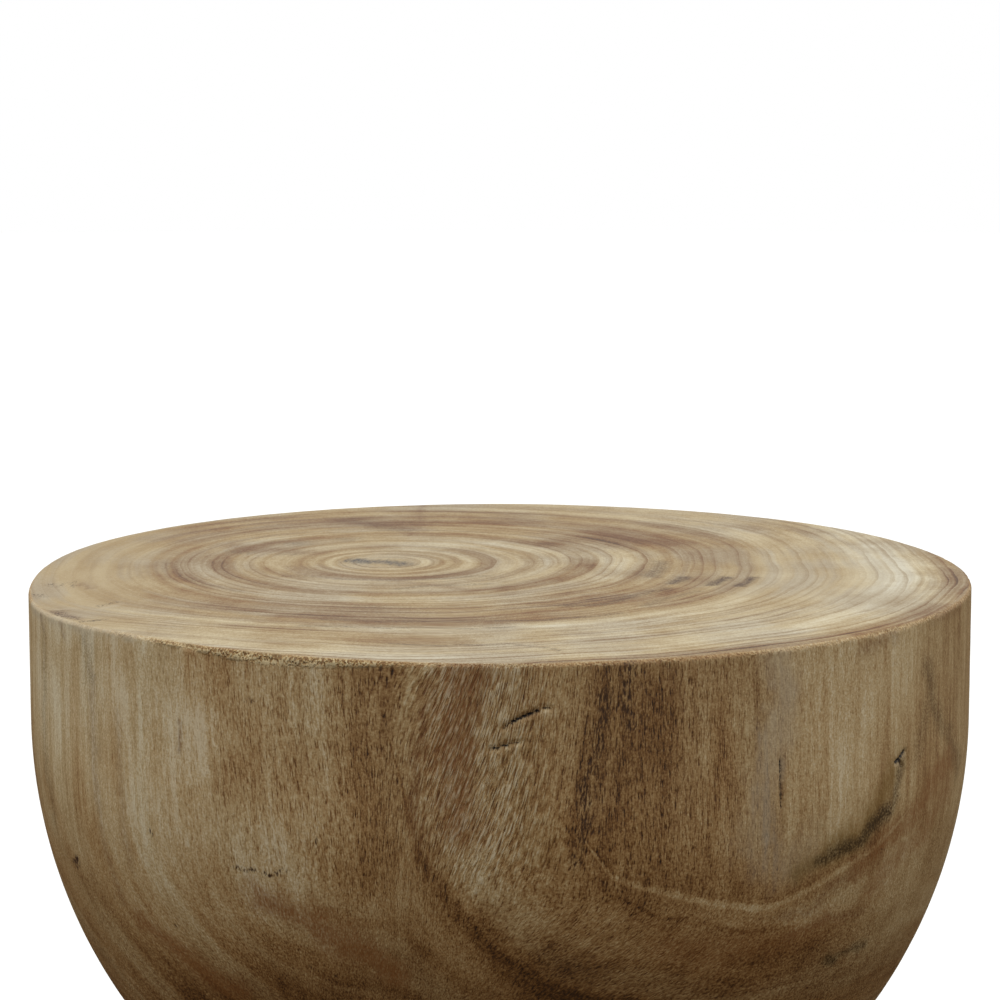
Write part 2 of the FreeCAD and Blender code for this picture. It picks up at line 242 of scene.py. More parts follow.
# Marks on the side, with lines in arc along the rim and height.
SIDE_MARKS: dict[Stain, tuple[Mark, ...]] = {
    # broad tones, which add up; the darkest ones low on the bowl are painted shade
    Stain.TONE: (
        # the upright band
        Mark(46.0, -0.70, ((-245, 430), (-200, 420), (-150, 425), (-135, 400), (-125, 430))),
        Mark(30.0, -0.40, ((-205, 410), (-200, 375))),
        Mark(30.0, -0.55, ((-110, 425), (-70, 440), (-66, 400), (-75, 385))),
        Mark(20.0, -0.15, ((0, 450), (4, 400))),
        Mark(20.0, 0.45, ((-34, 440), (-33, 385))),
        Mark(15.0, -0.60, ((-107, 420), (-107, 388))),
        Mark(12.0, 0.35, ((-68, 418), (-68, 410))),
        Mark(10.0, -0.50, ((-230, 446), (-180, 447), (-135, 448))),
        Mark(16.0, 0.20, ((147, 405), (147, 370))),
        Mark(34.0, 0.45, ((194, 446), (199, 400), (196, 365))),
        Mark(24.0, 0.72, ((35, 450), (36, 410), (40, 398), (48, 440))),
        Mark(24.0, 0.42, ((68, 440), (66, 405))),
        Mark(34.0, -0.65, ((112, 450), (116, 420), (126, 400), (145, 430), (160, 440))),
        Mark(12.0, -0.40, ((-151, 432), (-144, 428))),
        Mark(11.0, 0.32, ((-148, 405), (-146, 398))),
        Mark(10.0, -0.25, ((0, 390), (2, 386))),
        Mark(10.0, -0.25, ((-35, 375), (-33, 371))),
        Mark(10.0, -0.25, ((34, 360), (35, 357))),
        Mark(9.0, 0.22, ((32, 416), (33, 412))),
        Mark(11.0, -0.28, ((33, 400), (34, 388))),
        Mark(12.0, -0.25, ((107, 442), (108, 440))),
        # the bowl
        Mark(13.0, -0.28, ((107, 388), (106, 374), (104, 360), (72, 358))),
        Mark(12.0, 0.25, ((147, 374), (146, 359))),
        Mark(14.0, -0.40, ((-182, 324), (-175, 321))),
        Mark(11.0, -0.22, ((-76, 343), (-70, 341))),
        Mark(10.0, 0.30, ((-35, 348), (-31, 346))),
        Mark(34.0, -0.45, ((-150, 385), (-120, 372), (-80, 375))),
        Mark(22.0, 0.20, ((28, 388), (40, 365))),
        Mark(13.0, 0.50, ((-4, 362), (6, 352), (30, 346))),
        Mark(10.0, -0.35, ((110, 353), (120, 349))),
        # painted shade: a dark band low on the bowl, where it turns down away from the overhead light
        Mark(36.0, 0.45, ((-215, 312), (-160, 310), (-120, 314))),
        Mark(38.0, 0.95, ((-110, 316), (-70, 326), (-40, 332), (-22, 320))),
        Mark(38.0, 0.95, ((20, 332), (60, 327), (90, 323), (130, 319), (165, 312), (200, 306))),
        Mark(20.0, 0.25, ((100, 341), (124, 341), (147, 338))),
        Mark(11.0, -0.20, ((158, 352), (157, 338))),
        Mark(9.0, 0.40, ((-205, 362), (-180, 350), (-150, 333), (-128, 320))),
        Mark(8.0, -0.25, ((-178, 366), (-150, 355), (-125, 345), (-105, 333))),
        # the back and the foot
        Mark(40.0, 0.60, ((300, 450), (305, 400), (330, 360))),
        Mark(36.0, -0.50, ((375, 445), (380, 395))),
        Mark(44.0, 0.55, ((-320, 450), (-330, 395), (-360, 350))),
        Mark(36.0, -0.45, ((-420, 450), (-425, 400))),
        Mark(30.0, 0.45, ((480, 450), (478, 400))),
        Mark(50.0, 0.55, ((-250, 60), (-180, 90), (-90, 80), (-40, 50))),
        Mark(44.0, -0.50, ((40, 20), (80, 60), (150, 70))),
        Mark(46.0, 0.50, ((230, 20), (260, 80), (340, 100))),
        Mark(44.0, 0.45, ((-480, 30), (-430, 90), (-360, 70))),
        Mark(36.0, -0.45, ((420, 60), (470, 30))),
        # the left of the interlocked patch
        Mark(9.0, 0.30, ((-10, 440), (-13, 422), (-12, 404))),
    ),
    # dark columns along the grain, pits and torn spots
    Stain.DARK: (
        Mark(5.0, 0.55, ((312, 446), (316, 420), (313, 398))),
        Mark(4.0, 0.55, ((-72, 48), (-70, 14))),
        Mark(5.5, 0.62, ((35, 438), (34, 424))),
        Mark(4.5, 0.58, ((34, 424), (29, 410), (28, 392), (25, 382))),
        Mark(5.0, 0.62, ((44, 450), (42, 437), (44, 428))),
        Mark(8.0, 0.28, ((36, 446), (35, 410), (33, 392))),
        Mark(1.8, 0.90, ((-132, 382), (-132, 381))),
        Mark(4.0, 0.95, ((-191, 358), (-187, 361))),
        Mark(1.8, 0.80, ((152, 371), (153, 371))),
        Mark(1.8, 0.60, ((-162, 352), (-161, 351))),
        Mark(1.8, 0.60, ((-127, 349), (-126, 348))),
        Mark(1.8, 0.65, ((-95, 375), (-90, 374), (-86, 375))),
        Mark(1.8, 0.70, ((-83, 374), (-78, 374), (-74, 376))),
        Mark(1.8, 0.55, ((-68, 441), (-60, 441))),
        Mark(3.0, 0.35, ((-88, 433), (-83, 433))),
        Mark(3.5, 0.40, ((-12, 438), (-8, 436))),
        Mark(1.6, 0.60, ((-93, 386), (-93, 385))),
        Mark(1.6, 0.70, ((-62, 398), (-62, 397))),
        Mark(1.6, 0.60, ((-63, 390), (-63, 386))),
        Mark(1.8, 0.60, ((-86, 350), (-85, 349))),
        Mark(1.8, 0.60, ((-69, 342), (-68, 341))),
        Mark(1.8, 0.60, ((-60, 340), (-59, 339))),
    ),
    # red-brown lines along the grain and around the bowl
    Stain.RED: (
        Mark(7.0, 0.55, ((-338, 440), (-341, 405), (-348, 380))),
        Mark(8.0, 0.50, ((250, 90), (290, 70), (330, 66))),
        Mark(8.0, 0.50, ((-210, 100), (-160, 82), (-110, 78), (-70, 60))),
        Mark(5.0, 0.45, ((-21, 448), (-26, 420), (-29, 396), (-28, 388))),
        Mark(6.0, 0.42, ((-163, 432), (-163, 400), (-161, 370), (-156, 352))),
        Mark(5.0, 0.35, ((-148, 421), (-148, 395), (-146, 368))),
        Mark(3.0, 0.50, ((-212, 447), (-209, 442))),
        Mark(3.0, 0.45, ((-189, 447), (-186, 443))),
        Mark(7.0, 0.45, ((136, 446), (147, 446), (156, 447))),
        Mark(5.0, 0.40, ((182, 447), (200, 448), (214, 448))),
        Mark(2.2, 0.6, ((-116, 422), (-116, 412))),
        Mark(5.0, 0.45, ((104, 355), (120, 356), (124, 362), (140, 365))),
        Mark(4.0, 0.50, ((109, 347), (129, 350), (149, 350))),
        Mark(4.0, 0.35, ((94, 447), (96, 437))),
    ),
    # lighter bands where the bowl cuts the rings, and the left of the interlocked patch
    Stain.RUST: (
        Mark(16.0, 0.55, ((-11, 446), (-15, 420), (-14, 396))),
        Mark(11.0, 0.62, ((-88, 365), (-76, 363), (-51, 351), (-36, 340))),
        Mark(10.0, 0.55, ((-148, 345), (-137, 342), (-115, 331), (-102, 328))),
        Mark(12.0, 0.50, ((142, 367), (162, 376), (186, 387), (204, 393))),
        Mark(12.0, 0.45, ((150, 358), (176, 370), (204, 381))),
        Mark(14.0, 0.35, ((56, 352), (84, 345), (108, 344), (128, 347))),
    ),
    # olive stains at the turn of the sapwood and on the left
    Stain.OLIVE: (
        Mark(8.0, 0.40, ((-168, 444), (-166, 432))),
        Mark(9.0, 0.35, ((-209, 440), (-210, 400), (-207, 370))),
        Mark(6.0, 0.28, ((107, 371), (116, 374))),
        Mark(5.5, 0.75, ((117, 374), (129, 376))),
        Mark(6.0, 0.85, ((129, 376), (137, 378), (142, 381))),
        Mark(6.5, 0.90, ((142, 381), (154, 385))),
        Mark(5.0, 0.60, ((154, 385), (159, 390), (161, 404))),
        Mark(10.0, 0.48, ((180, 432), (183, 420), (190, 412))),
        Mark(8.0, 0.35, ((181, 421), (174, 410), (171, 400))),
        Mark(9.0, 0.42, ((190, 412), (199, 404), (208, 396), (217, 388))),
        Mark(5.0, 0.85, ((134, 334), (139, 333))),
        Mark(3.5, 0.70, ((139, 334), (152, 336))),
        Mark(4.5, 0.70, ((152, 336), (156, 336))),
    ),
    # golden ground of the interlocked patch and of the sapwood's turn
    Stain.GOLD: (
        Mark(26.0, 0.28, ((2, 420), (10, 392))),
        Mark(13.0, 0.70, ((108, 374), (130, 379), (140, 385), (150, 390), (157, 402))),
    ),
    # bleached streaks
    Stain.GREY: (
        Mark(13.0, 0.50, ((101, 452), (98, 425), (95, 405), (94, 384))),
        Mark(18.0, 0.36, ((90, 384), (97, 375), (110, 378))),
        Mark(5.0, 0.70, ((-232, 448), (-190, 448), (-140, 449))),
    ),
    # open cracks, their insides painted near black as shade
    Stain.CRACK: (
        Mark(0.9, 0.60, ((402, 430), (404, 410), (403, 396))),
        Mark(1.1, 0.95, ((4, 430), (12, 434))),
        Mark(0.9, 0.55, ((1, 428), (4, 430))),
        Mark(0.9, 0.60, ((12, 434), (16, 435))),
        Mark(1.0, 0.80, ((-3, 421), (3, 423))),
        Mark(1.0, 0.50, ((3, 423), (8, 424))),
        Mark(1.0, 0.64, ((99, 411), (100, 395))),
        Mark(0.8, 0.34, ((100, 395), (101, 386))),
        Mark(1.4, 0.95, ((157, 402), (160, 403), (163, 405))),
        Mark(1.1, 0.80, ((160, 403), (161, 400))),
    ),
}

# Marks on the seat, with lines in x and y.
TOP_MARKS: dict[Stain, tuple[Mark, ...]] = {
    # the pith
    Stain.PITH: (
        Mark(9.0, 0.85, ((-54, 27), (-50, 24))),
        Mark(10.0, 0.75, ((-44, 23), (-37, 19))),
    ),
    # short mineral streaks along the rings
    Stain.SMOKE: (
        Mark(5.5, 0.85, ((62, -22), (66, -14), (68, -8))),
        Mark(4.6, 0.95, ((77, -26), (80, -17), (83, -9))),
        Mark(3.6, 1.0, ((88, -28), (91, -18), (94, -10))),
        Mark(8.0, 0.55, ((55, -6), (60, 8), (61, 25))),
        Mark(5.0, 0.60, ((22, -70), (36, -67), (49, -48), (60, -34))),
        Mark(4.0, 0.45, ((51, -70), (61, -55), (72, -40))),
        Mark(4.0, 0.40, ((-80, -6), (-60, -13), (-40, -15), (-20, -12), (-4, -5))),
        Mark(4.0, 0.45, ((-38, -34), (-22, -28), (-4, -24))),
        Mark(3.5, 0.35, ((-52, -70), (-30, -73), (-8, -70))),
        Mark(3.0, 0.62, ((-64, -97), (-40, -100), (-18, -101), (16, -97), (43, -85))),
        Mark(2.8, 0.55, ((-70, -108), (-40, -112), (-10, -113), (5, -110))),
        Mark(2.4, 0.60, ((-38, -141), (-20, -144), (4, -141), (16, -148), (20, -153))),
        Mark(14.0, 0.40, ((-60, 126), (-50, 116), (-40, 106))),
        Mark(9.0, 0.40, ((-63, 79), (-61, 77))),
        Mark(9.0, 0.45, ((-79, 70), (-77, 66))),
        Mark(9.0, 0.50, ((-104, 51), (-98, 49))),
        Mark(7.0, 0.40, ((-85, 43), (-78, 43))),
        Mark(4.0, 0.35, ((-126, 24), (-125, 10), (-118, -8), (-109, -23), (-94, -40))),
    ),
    # brown patches and lines
    Stain.RED: (
        Mark(6.0, 0.45, ((-80, 15), (-74, -2), (-60, -12), (-42, -14), (-25, -10))),
        Mark(7.0, 0.45, ((-40, -16), (-26, -26), (-14, -34))),
        Mark(10.0, 0.50, ((-104, 62), (-84, 50), (-74, 46))),
        Mark(16.0, 0.55, ((-64, 126), (-46, 116), (-34, 108))),
        Mark(4.0, 0.48, ((-32, 172), (-34, 142), (-31, 118), (-36, 90))),
        Mark(18.0, 0.55, ((38, 100), (50, 84), (70, 70))),
        Mark(8.0, 0.35, ((-80, -88), (-40, -100), (0, -104))),
        Mark(7.0, 0.24, ((104, -133), (130, -106), (143, -91), (154, -71))),
        Mark(5.0, 0.50, ((-154, -16), (-150, -24))),
        Mark(8.0, 0.50, ((-158, -66), (-154, -80), (-147, -88))),
    ),
    # broad tones
    Stain.TONE: (
        Mark(14.0, 0.30, ((-112, 40), (-122, 15), (-116, -14))),
        Mark(18.0, -0.25, ((-140, 60), (-150, 10), (-140, -20))),
        Mark(16.0, -0.28, ((76, 0), (111, -8), (111, -55))),
        Mark(10.0, -0.25, ((-10, -108), (8, -108))),
        Mark(12.0, 0.30, ((150, 75), (166, 20), (162, -30))),
        Mark(9.0, -0.40, ((42, 54), (50, 42), (52, 24))),
        Mark(11.0, 0.45, ((20, -68), (40, -55), (58, -40))),
        Mark(13.0, 0.45, ((-72, -92), (-40, -98), (-10, -98), (12, -94))),
        Mark(17.0, 0.60, ((24, 72), (40, 84), (60, 66))),
        Mark(14.0, 0.40, ((-48, 116), (-28, 124), (0, 124))),
        Mark(13.0, 0.30, ((-88, 54), (-66, 42))),
        Mark(13.0, 0.35, ((-88, 6), (-70, -12))),
        Mark(13.0, -0.35, ((28, 2), (40, -14))),
        Mark(14.0, -0.35, ((-80, -50), (-40, -58), (5, -56))),
        Mark(18.0, 0.55, ((-84, -112), (-48, -130), (-20, -140))),
        Mark(12.0, -0.28, ((62, -114), (85, -98))),
        Mark(10.0, 0.35, ((118, -120), (140, -95), (155, -70))),
        Mark(5.0, -0.55, ((12, -110), (50, -100), (76, -76), (88, -56))),
        Mark(24.0, -0.60, ((142, 50), (148, 10), (142, -35))),
        Mark(14.0, -0.50, ((-30, 62), (0, 66), (34, 40), (44, 18))),
        Mark(12.0, 0.22, ((-42, 122), (-34, 118))),
        Mark(12.0, 0.22, ((34, 54), (42, 50))),
        Mark(12.0, 0.28, ((134, -112), (144, -104))),
        Mark(12.0, 0.48, ((-80, -138), (-64, -144))),
        Mark(13.0, 0.30, ((-80, -4), (-72, -8))),
        Mark(12.0, 0.25, ((-80, -104), (-66, -112))),
        Mark(13.0, 0.35, ((106, 110), (122, 96))),
        Mark(12.0, 0.25, ((147, 52), (150, 40))),
        Mark(10.0, 0.25, ((164, 8), (163, -18))),
    ),
    # pale scuffs near the worn rim
    Stain.GREY: (
        Mark(4.0, 0.60, ((-142, -66), (-137, -62))),
        Mark(4.0, 0.50, ((-157, -62), (-153, -61))),
    ),
    # dark scuffs near the worn rim
    Stain.DARK: (
        Mark(4.5, 0.50, ((-167, -12), (-163, -17))),
        Mark(4.5, 0.50, ((-159, -11), (-157, -19))),
        Mark(6.0, 0.42, ((-170, -29), (-166, -36))),
        Mark(6.5, 0.52, ((-157, -68), (-154, -80), (-148, -86))),
        Mark(4.0, 0.60, ((-145, -93), (-138, -91))),
        Mark(4.5, 0.42, ((-144, -61), (-138, -57))),
    ),
}


@dataclass(frozen=True)
class Vein:
    """A line where the turned side cuts one growth ring.

    The path runs in arc and height, from left to right. The tones are changes of
    the wood's shade against the distance above the line.
    """

    name: str
    path: Path
    tones: Stops
    redness: float
    ends: float = 16.0
    thinnest: float = 0.05
    farthest: float = 60.0

    def distance(self, at: np.ndarray) -> np.ndarray:
        """Distance above the line, divided by a taper so that the line thins at its ends."""
        arcs, heights = np.array(self.path, float).T
        gap = gap_to(at, self.path)
        above = at[:, 1] > np.interp(at[:, 0], arcs, heights)
        first, last = arcs[0], arcs[-1]
        taper = window(at[:, 0], (first, first + self.ends), (last - self.ends, last))
        signed = np.where(above, gap, -gap) / np.maximum(taper, self.thinnest)
        return np.clip(signed, -self.farthest, self.farthest)


VEINS: tuple[Vein, ...] = (
    # edge of the sapwood: dotted above, a pale line, then brown
    Vein(
        "vein_sapwood",
        (
            (20, 410), (29, 389), (38, 378), (50, 373), (76, 365), (92, 361), (100, 361), (120, 366),
            (148, 374), (161, 380), (176, 388),
        ),
        (
            (-16, 0.0), (-10.2, 0.02), (-9, 0.10), (-8, 0.02), (-5, 0.07), (-3, 0.09), (-2, 0.03),
            (-1.8, -0.10), (-0.2, -0.10), (0.6, 0.05), (1.2, 0.12), (4, 0.08), (10, 0.03), (18, 0.0),
        ),
        0.6,
        30.0,
    ),
    # a thin dark ring below it
    Vein(
        "vein_ring",
        (
            (16, 405), (24, 391), (28, 381), (36, 371), (49, 365), (55, 361), (68, 360), (84, 353),
            (94, 351), (112, 351),
        ),
        ((-6, 0.0), (-1.2, 0.04), (-0.3, 0.15), (0.3, 0.15), (1.0, 0.05), (5, 0.0)),
        1.5,
    ),
    # a red-brown band, sharp above and soft below
    Vein(
        "vein_red",
        ((-36, 425), (-30, 400), (-27, 388), (-9, 363), (4, 350), (16, 341), (40, 332), (64, 328)),
        ((-20, 0.0), (-13, 0.03), (-8, 0.08), (-5, 0.15), (-1.5, 0.18), (0, 0.09), (1.5, 0.03), (4, 0.0)),
        5.0,
    ),
)


@dataclass(frozen=True)
class LogWood:
    """The log: where its pith runs, how its rings lie and how its fibres lean."""

    pith: Pair = (-45.0, 24.0)
    eccentricity: float = 0.125
    # azimuth in degrees, half width in degrees, swell of the rings at the bark
    flutes: tuple[Triple, ...] = (
        (-66.0, 24.0, -13.0), (-12.0, 9.0, -4.5), (8.0, 7.0, 1.5), (31.0, 11.0, 2.0),
        (72.0, 12.0, 2.5), (105.0, 25.0, 11.0), (128.0, 16.0, -4.0), (176.0, 14.0, 5.0),
        (-128.0, 15.0, -5.0),
    )
    flute_reach: float = 190.0
    # interlocked patch: start, fullest place and width along the arc, lean, middle height and fade
    interlock_start: float = -48.0
    interlock_arc: float = -16.0
    interlock_width: float = 36.0
    interlock_slope: float = 0.34
    interlock_height: float = 412.0
    interlock_fade: Pair = (330.0, 380.0)
    # low on the bowl: arc, half width and lean of the fibres, their drop and its fade
    low_leans: tuple[Triple, ...] = ((25.0, 60.0, 0.8), (-115.0, 50.0, -0.4))
    low_drop: float = 45.0
    low_fade: Pair = (318.0, 372.0)
    # slow drift of the fibres, and the radius inside which they turn no further
    drift: float = 5.0
    drift_cell: float = 70.0
    drift_stretch: Triple = (1.0, 1.0, 0.6)
    core: float = 20.0

    def ring(self, points: np.ndarray) -> np.ndarray:
        """Number of the growth ring through each point, as its radius in millimetres.

        Rings are circles whose centres drift from the pith in step with their
        radius: for an offset d from the pith and the drift e along +X, the radius
        solves |d - e r| = r. The flutes of the trunk then add bell curves over the
        azimuth, which grow with the square of the radius.
        """
        dx, dy = points[:, 0] - self.pith[0], points[:, 1] - self.pith[1]
        rest = 1.0 - self.eccentricity ** 2
        lean = dx * self.eccentricity
        radius = (np.sqrt(lean ** 2 + (dx ** 2 + dy ** 2) * rest) - lean) / rest
        azimuth = np.degrees(np.arctan2(points[:, 0], -points[:, 1]))
        share = (radius / self.flute_reach) ** 2
        for centre, width, swell in self.flutes:
            turn = (azimuth - centre + 180.0) % 360.0 - 180.0
            radius = radius + share * swell * bell(turn, 0.0, width)
        return radius

    def grain(self, points: np.ndarray, arc: np.ndarray) -> np.ndarray:
        """Each point in the straightened fibres.

        The point is turned about the stool's axis by how far its fibre leans
        there: a bell curve over the arc, times the height above the middle of the
        interlocked patch, plus other bell curves times a soft step down the bowl
        and a slow drift by noise.
        """
        height = points[:, 2]
        past = np.maximum(arc - self.interlock_arc, 0.0)
        near = smooth(self.interlock_start, self.interlock_arc, arc)
        near = near * bell(past, 0.0, self.interlock_width) * smooth(*self.interlock_fade, height)
        shift = near * self.interlock_slope * (height - self.interlock_height)
        drop = self.low_drop * (1.0 - smooth(*self.low_fade, height))
        for centre, width, lean in self.low_leans:
            shift = shift - lean * drop * bell(arc, centre, width)
        slow = lattice_noise(points * self.drift_stretch, self.drift_cell, Seed.FIBRE_DRIFT)
        shift = shift + self.drift * slow
        turn = -shift / np.maximum(np.hypot(points[:, 0], points[:, 1]), self.core)
        cos, sin = np.cos(turn), np.sin(turn)
        x = points[:, 0] * cos - points[:, 1] * sin
        y = points[:, 0] * sin + points[:, 1] * cos
        return np.stack([x, y, height], axis=1)


@dataclass(frozen=True)
class TurnedWood:
    """Rain tree wood, turned and rubbed with oil.

    The eye sees fine upright vessel lines in a tan to brown ground, bands where the
    turned face cuts the growth rings, and a dull sheen at a flat angle.

    Every layer takes the function that adds a node and the sockets by name, reads
    what it needs and puts back what later layers need. The shade runs from 0, pale,
    to 1, dark.
    """

    name: str = "rain_tree_wood_turned"
    roughness: Pair = (0.42, 0.60)
    ring_width: float = 4.4
    ring_waver: float = 1.6
    vein_waver: float = 1.4
    # cells of the torn fibre ends in a metre: 0.8 mm wide and 1.2 mm high
    tear_cells: Triple = (1250.0, 1250.0, 830.0)
    # pale sapwood through tan to dark heartwood
    ground: Stops = (
        (0.0, "#EADBB8"), (0.22, "#D2B98A"), (0.45, "#B49464"),
        (0.68, "#8E693D"), (0.86, "#62421F"), (1.0, "#3A240F"),
    )
    # the same range where the wood is redder
    warm_ground: Stops = (
        (0.0, "#E6D2AC"), (0.22, "#CFB281"), (0.45, "#B18A57"),
        (0.68, "#875E30"), (0.86, "#5A3918"), (1.0, "#321D0C"),
    )
    # the same range on the end grain, in golden and in greyer rings
    golden_end: Stops = (
        (0.0, "#E8DCBC"), (0.22, "#CFBC94"), (0.45, "#AF9467"),
        (0.68, "#8C6236"), (0.86, "#614226"), (1.0, "#3A2716"),
    )
    grey_end: Stops = (
        (0.0, "#E4DCC4"), (0.22, "#C8BA9D"), (0.45, "#A99371"),
        (0.68, "#87643F"), (0.86, "#5D442E"), (1.0, "#39291C"),
    )
    # torn fibre ends, from the gaps between them, darkened as painted shade, to their pale tips
    fibre_ends: Stops = ((0.0, "#7C5429"), (0.35, "#B08850"), (0.65, "#D4B47C"), (1.0, "#F0DCAC"))
    # radius of a ring against its shade on the end grain
    ring_tones: Stops = (
        (0.0, 0.42), (12.0, 0.30), (18.5, 0.33), (20.5, 0.54), (22.5, 0.33), (26.5, 0.57),
        (29.0, 0.33), (36.0, 0.56), (40.0, 0.34), (49.5, 0.38), (51.5, 0.56), (54.0, 0.36),
        (64.0, 0.40), (66.0, 0.56), (73.0, 0.58), (76.0, 0.36), (88.0, 0.44), (91.0, 0.60),
        (95.0, 0.42), (99.0, 0.62), (104.0, 0.46), (114.0, 0.60), (120.0, 0.46), (130.0, 0.56),
        (134.0, 0.36), (138.0, 0.27), (142.0, 0.36), (160.0, 0.34), (182.0, 0.24), (198.0, 0.34),
        (204.0, 0.44), (215.0, 0.36),
    )
    # radius of a ring near the bark against its change of shade
    bark_rings: Stops = (
        (170.0, 0.0), (186.6, -0.03), (188.0, 0.10), (189.2, 0.0), (197.4, 0.02),
        (198.8, 0.09), (199.9, 0.02), (201.3, 0.09), (202.8, 0.05), (215.0, 0.03),
    )
    # noise stretched along the fibres: size across and along them, then detail
    noises: tuple[tuple[str, float, float, float], ...] = (
        ("vessel", 0.7, 2.4, 2.0),
        ("pore", 0.45, 3.8, 1.0),
        ("groove", 0.5, 5.0, 1.0),
        ("fibre", 2.2, 30.0, 3.0),
        ("column", 7.0, 120.0, 1.0),
        ("drift", 34.0, 150.0, 2.0),
        ("patch", 42.0, 120.0, 1.0),
        ("speck", 0.7, 0.8, 2.0),
    )
    # noise that follows the rings: size across and along them
    bands: tuple[tuple[str, float, float], ...] = (
        ("spread", 14.0, 160.0),
        ("mottle", 9.0, 28.0),
        ("wide", 5.5, 130.0),
        ("narrow", 1.9, 110.0),
        ("hair", 0.8, 90.0),
    )
    # how far a pattern moves the shade, as a number or by a socket: on the upright side,
    # on the bowl, where the fibres are cut at a slant, and on the end grain
    moves: tuple[tuple[Union[str, float], ...], ...] = (
        ("mottle", 0.0, 0.24, 0.42),
        ("wide", 0.40, 0.30, 0.36),
        ("narrow", 0.36, 0.40, "lively"),
        ("hair", 0.0, 0.0, "lively"),
        ("column", 0.40, 0.20, 0.12),
        ("fibre", 0.60, 0.20, 0.16),
        ("vessel", "dashed", 0.26, 0.12),
        ("speck", 0.62, 1.0, 0.48),
    )
    # a stain's paint, the pattern that breaks its edge and how much, and the cover where the
    # stain starts and is full
    paints: tuple[tuple[Stain, str, str, float, float, float], ...] = (
        (Stain.GREY, "#CBBB9D", "fibre", 0.4, 0.0, 1.2),
        (Stain.RED, "#6E3F1B", "vessel", 0.4, 0.0, 1.2),
        (Stain.RUST, "#8E5A2A", "vessel", 0.3, 0.0, 1.0),
        (Stain.GOLD, "#846528", "fibre", 0.15, 0.0, 1.3),
        (Stain.OLIVE, "#45310F", "speck", 0.45, 0.0, 1.15),
        (Stain.DARK, "#4A3019", "vessel", 1.4, 0.25, 1.0),
        (Stain.SMOKE, "#5C4532", "speck", 0.4, 0.0, 1.1),
        (Stain.PITH, "#54504F", "speck", 0.4, 0.0, 1.0),
        # painted shade: the cracks' insides are painted near black, as the shade in their grooves
        (Stain.CRACK, "#180E07", "speck", 0.4, 0.22, 0.75),
    )
    # heights of the fine surface, in millimetres
    relief: tuple[tuple[str, float], ...] = (
        ("opened", -0.35),
        ("ridge", -0.5),
        ("vessel", -0.25),
        ("speck", 0.10),
        ("pale", 0.6),
    )

    def material(self) -> bpy.types.Material:
        """Makes the material from the mesh's attributes, one layer after the other."""
        material, graph = new_material(self.name)
        wood = {"grain": graph.add("Attribute", out="Vector", attribute_name="grain")}
        shares = ("ring", "end_grain", "slant", "combed", "torn", "calm", "coarse")
        for name in (*shares, *(kind.value for kind in Stain)):
            wood[name] = graph.add("Attribute", out="Fac", attribute_name=name)
        layers = (
            self.patterns, self.rings, self.moved_shade, self.ring_lines, self.fibres,
            self.veins, self.ground_colour, self.stains, self.torn_rim, self.surface,
        )
        for layer in layers:
            layer(graph.add, wood)
        return material

    def patterns(self, add: Adder, wood: Sockets) -> None:
        """Noise along the fibres, and torn fibre ends, which stand upright however these lean."""
        for name, across, along, detail in self.noises:
            stretch = (1.0 / across, 1.0 / across, 1.0 / along)
            place = add("VectorMath", {0: wood["grain"], 1: stretch}, operation="MULTIPLY")
            inputs = {"Vector": place, "Scale": 1.0, "Detail": detail, "Roughness": 0.6}
            wood[name] = add("TexNoise", inputs)
        rim = add("TexCoord", out="Object")
        rim = add("VectorMath", {0: rim, 1: self.tear_cells}, operation="MULTIPLY")
        wood["tear"] = add("TexNoise", {"Vector": rim, "Scale": 1.0, "Detail": 1.0})

    def rings(self, add: Adder, wood: Sockets) -> None:
        """Growth rings that waver a little, noise that follows them, and each ring's shade."""
        waver = add("MapRange", {0: wood["drift"], 3: -self.ring_waver, 4: self.ring_waver})
        wavy = add("Math", {0: wood["ring"], 1: waver}, operation="ADD")
        for name, across, along in self.bands:
            step = add("Math", {0: wavy, 1: 1.0 / across}, operation="MULTIPLY")
            place = add("VectorMath", {0: wood["grain"], "Scale": 1.0 / along}, operation="SCALE")
            inputs = {"Vector": place, "W": step, "Scale": 1.0, "Detail": 2.0, "Roughness": 0.55}
            wood[name] = add("TexNoise", inputs, noise_dimensions="4D")
        reach = self.ring_tones[-1][0]
        share = add("Math", {0: wavy, 1: 1.0 / reach}, operation="MULTIPLY")
        stops = tuple((radius / reach, shade) for radius, shade in self.ring_tones)
        wood["ringed"] = add("ValToRGB", {0: share}, stops=stops)
        wood["wavy"] = wavy

    def moved_shade(self, add: Adder, wood: Sockets) -> None:
        """The shade of the end grain and of the side, moved by every pattern and broad tone.

        Rings are clearest at the front and on the right, and vessels are dashed where
        they are coarse.
        """
        clear = add("MapRange", {0: wood["drift"], 1: 0.35, 2: 0.62, 3: 0.45, 4: 1.0})
        on_end = add("Mix", {0: clear, 2: 0.40, 3: wood["ringed"]})
        on_end = add("Math", {0: on_end, 1: 1.18, 2: -0.075}, operation="MULTIPLY_ADD")
        upright = add("MapRange", {0: wood["drift"], 3: 0.36, 4: 0.46})
        shade = add("Mix", {0: wood["end_grain"], 2: upright, 3: on_end})
        front = (0.35, -0.94, 0.0)
        facing = add("VectorMath", {0: wood["grain"], 1: front}, out="Value", operation="DOT_PRODUCT")
        facing = add("Math", {0: wood["patch"], 1: 160.0, 2: facing}, operation="MULTIPLY_ADD")
        wood["lively"] = add("MapRange", {0: facing, 1: 0.0, 2: 200.0, 3: 0.14, 4: 0.38})
        wood["dashed"] = add("Math", {0: wood["coarse"], 1: 0.70}, operation="MULTIPLY")
        for pattern, *shares in self.moves:
            on_side, on_bowl, on_top = (wood.get(share, share) for share in shares)
            share = add("Mix", {0: wood["slant"], 2: on_side, 3: on_bowl})
            share = add("Mix", {0: wood["end_grain"], 2: share, 3: on_top})
            centred = add("Math", {0: wood[pattern], 1: -0.5}, operation="ADD")
            shade = add("Math", {0: centred, 1: share, 2: shade}, operation="MULTIPLY_ADD")
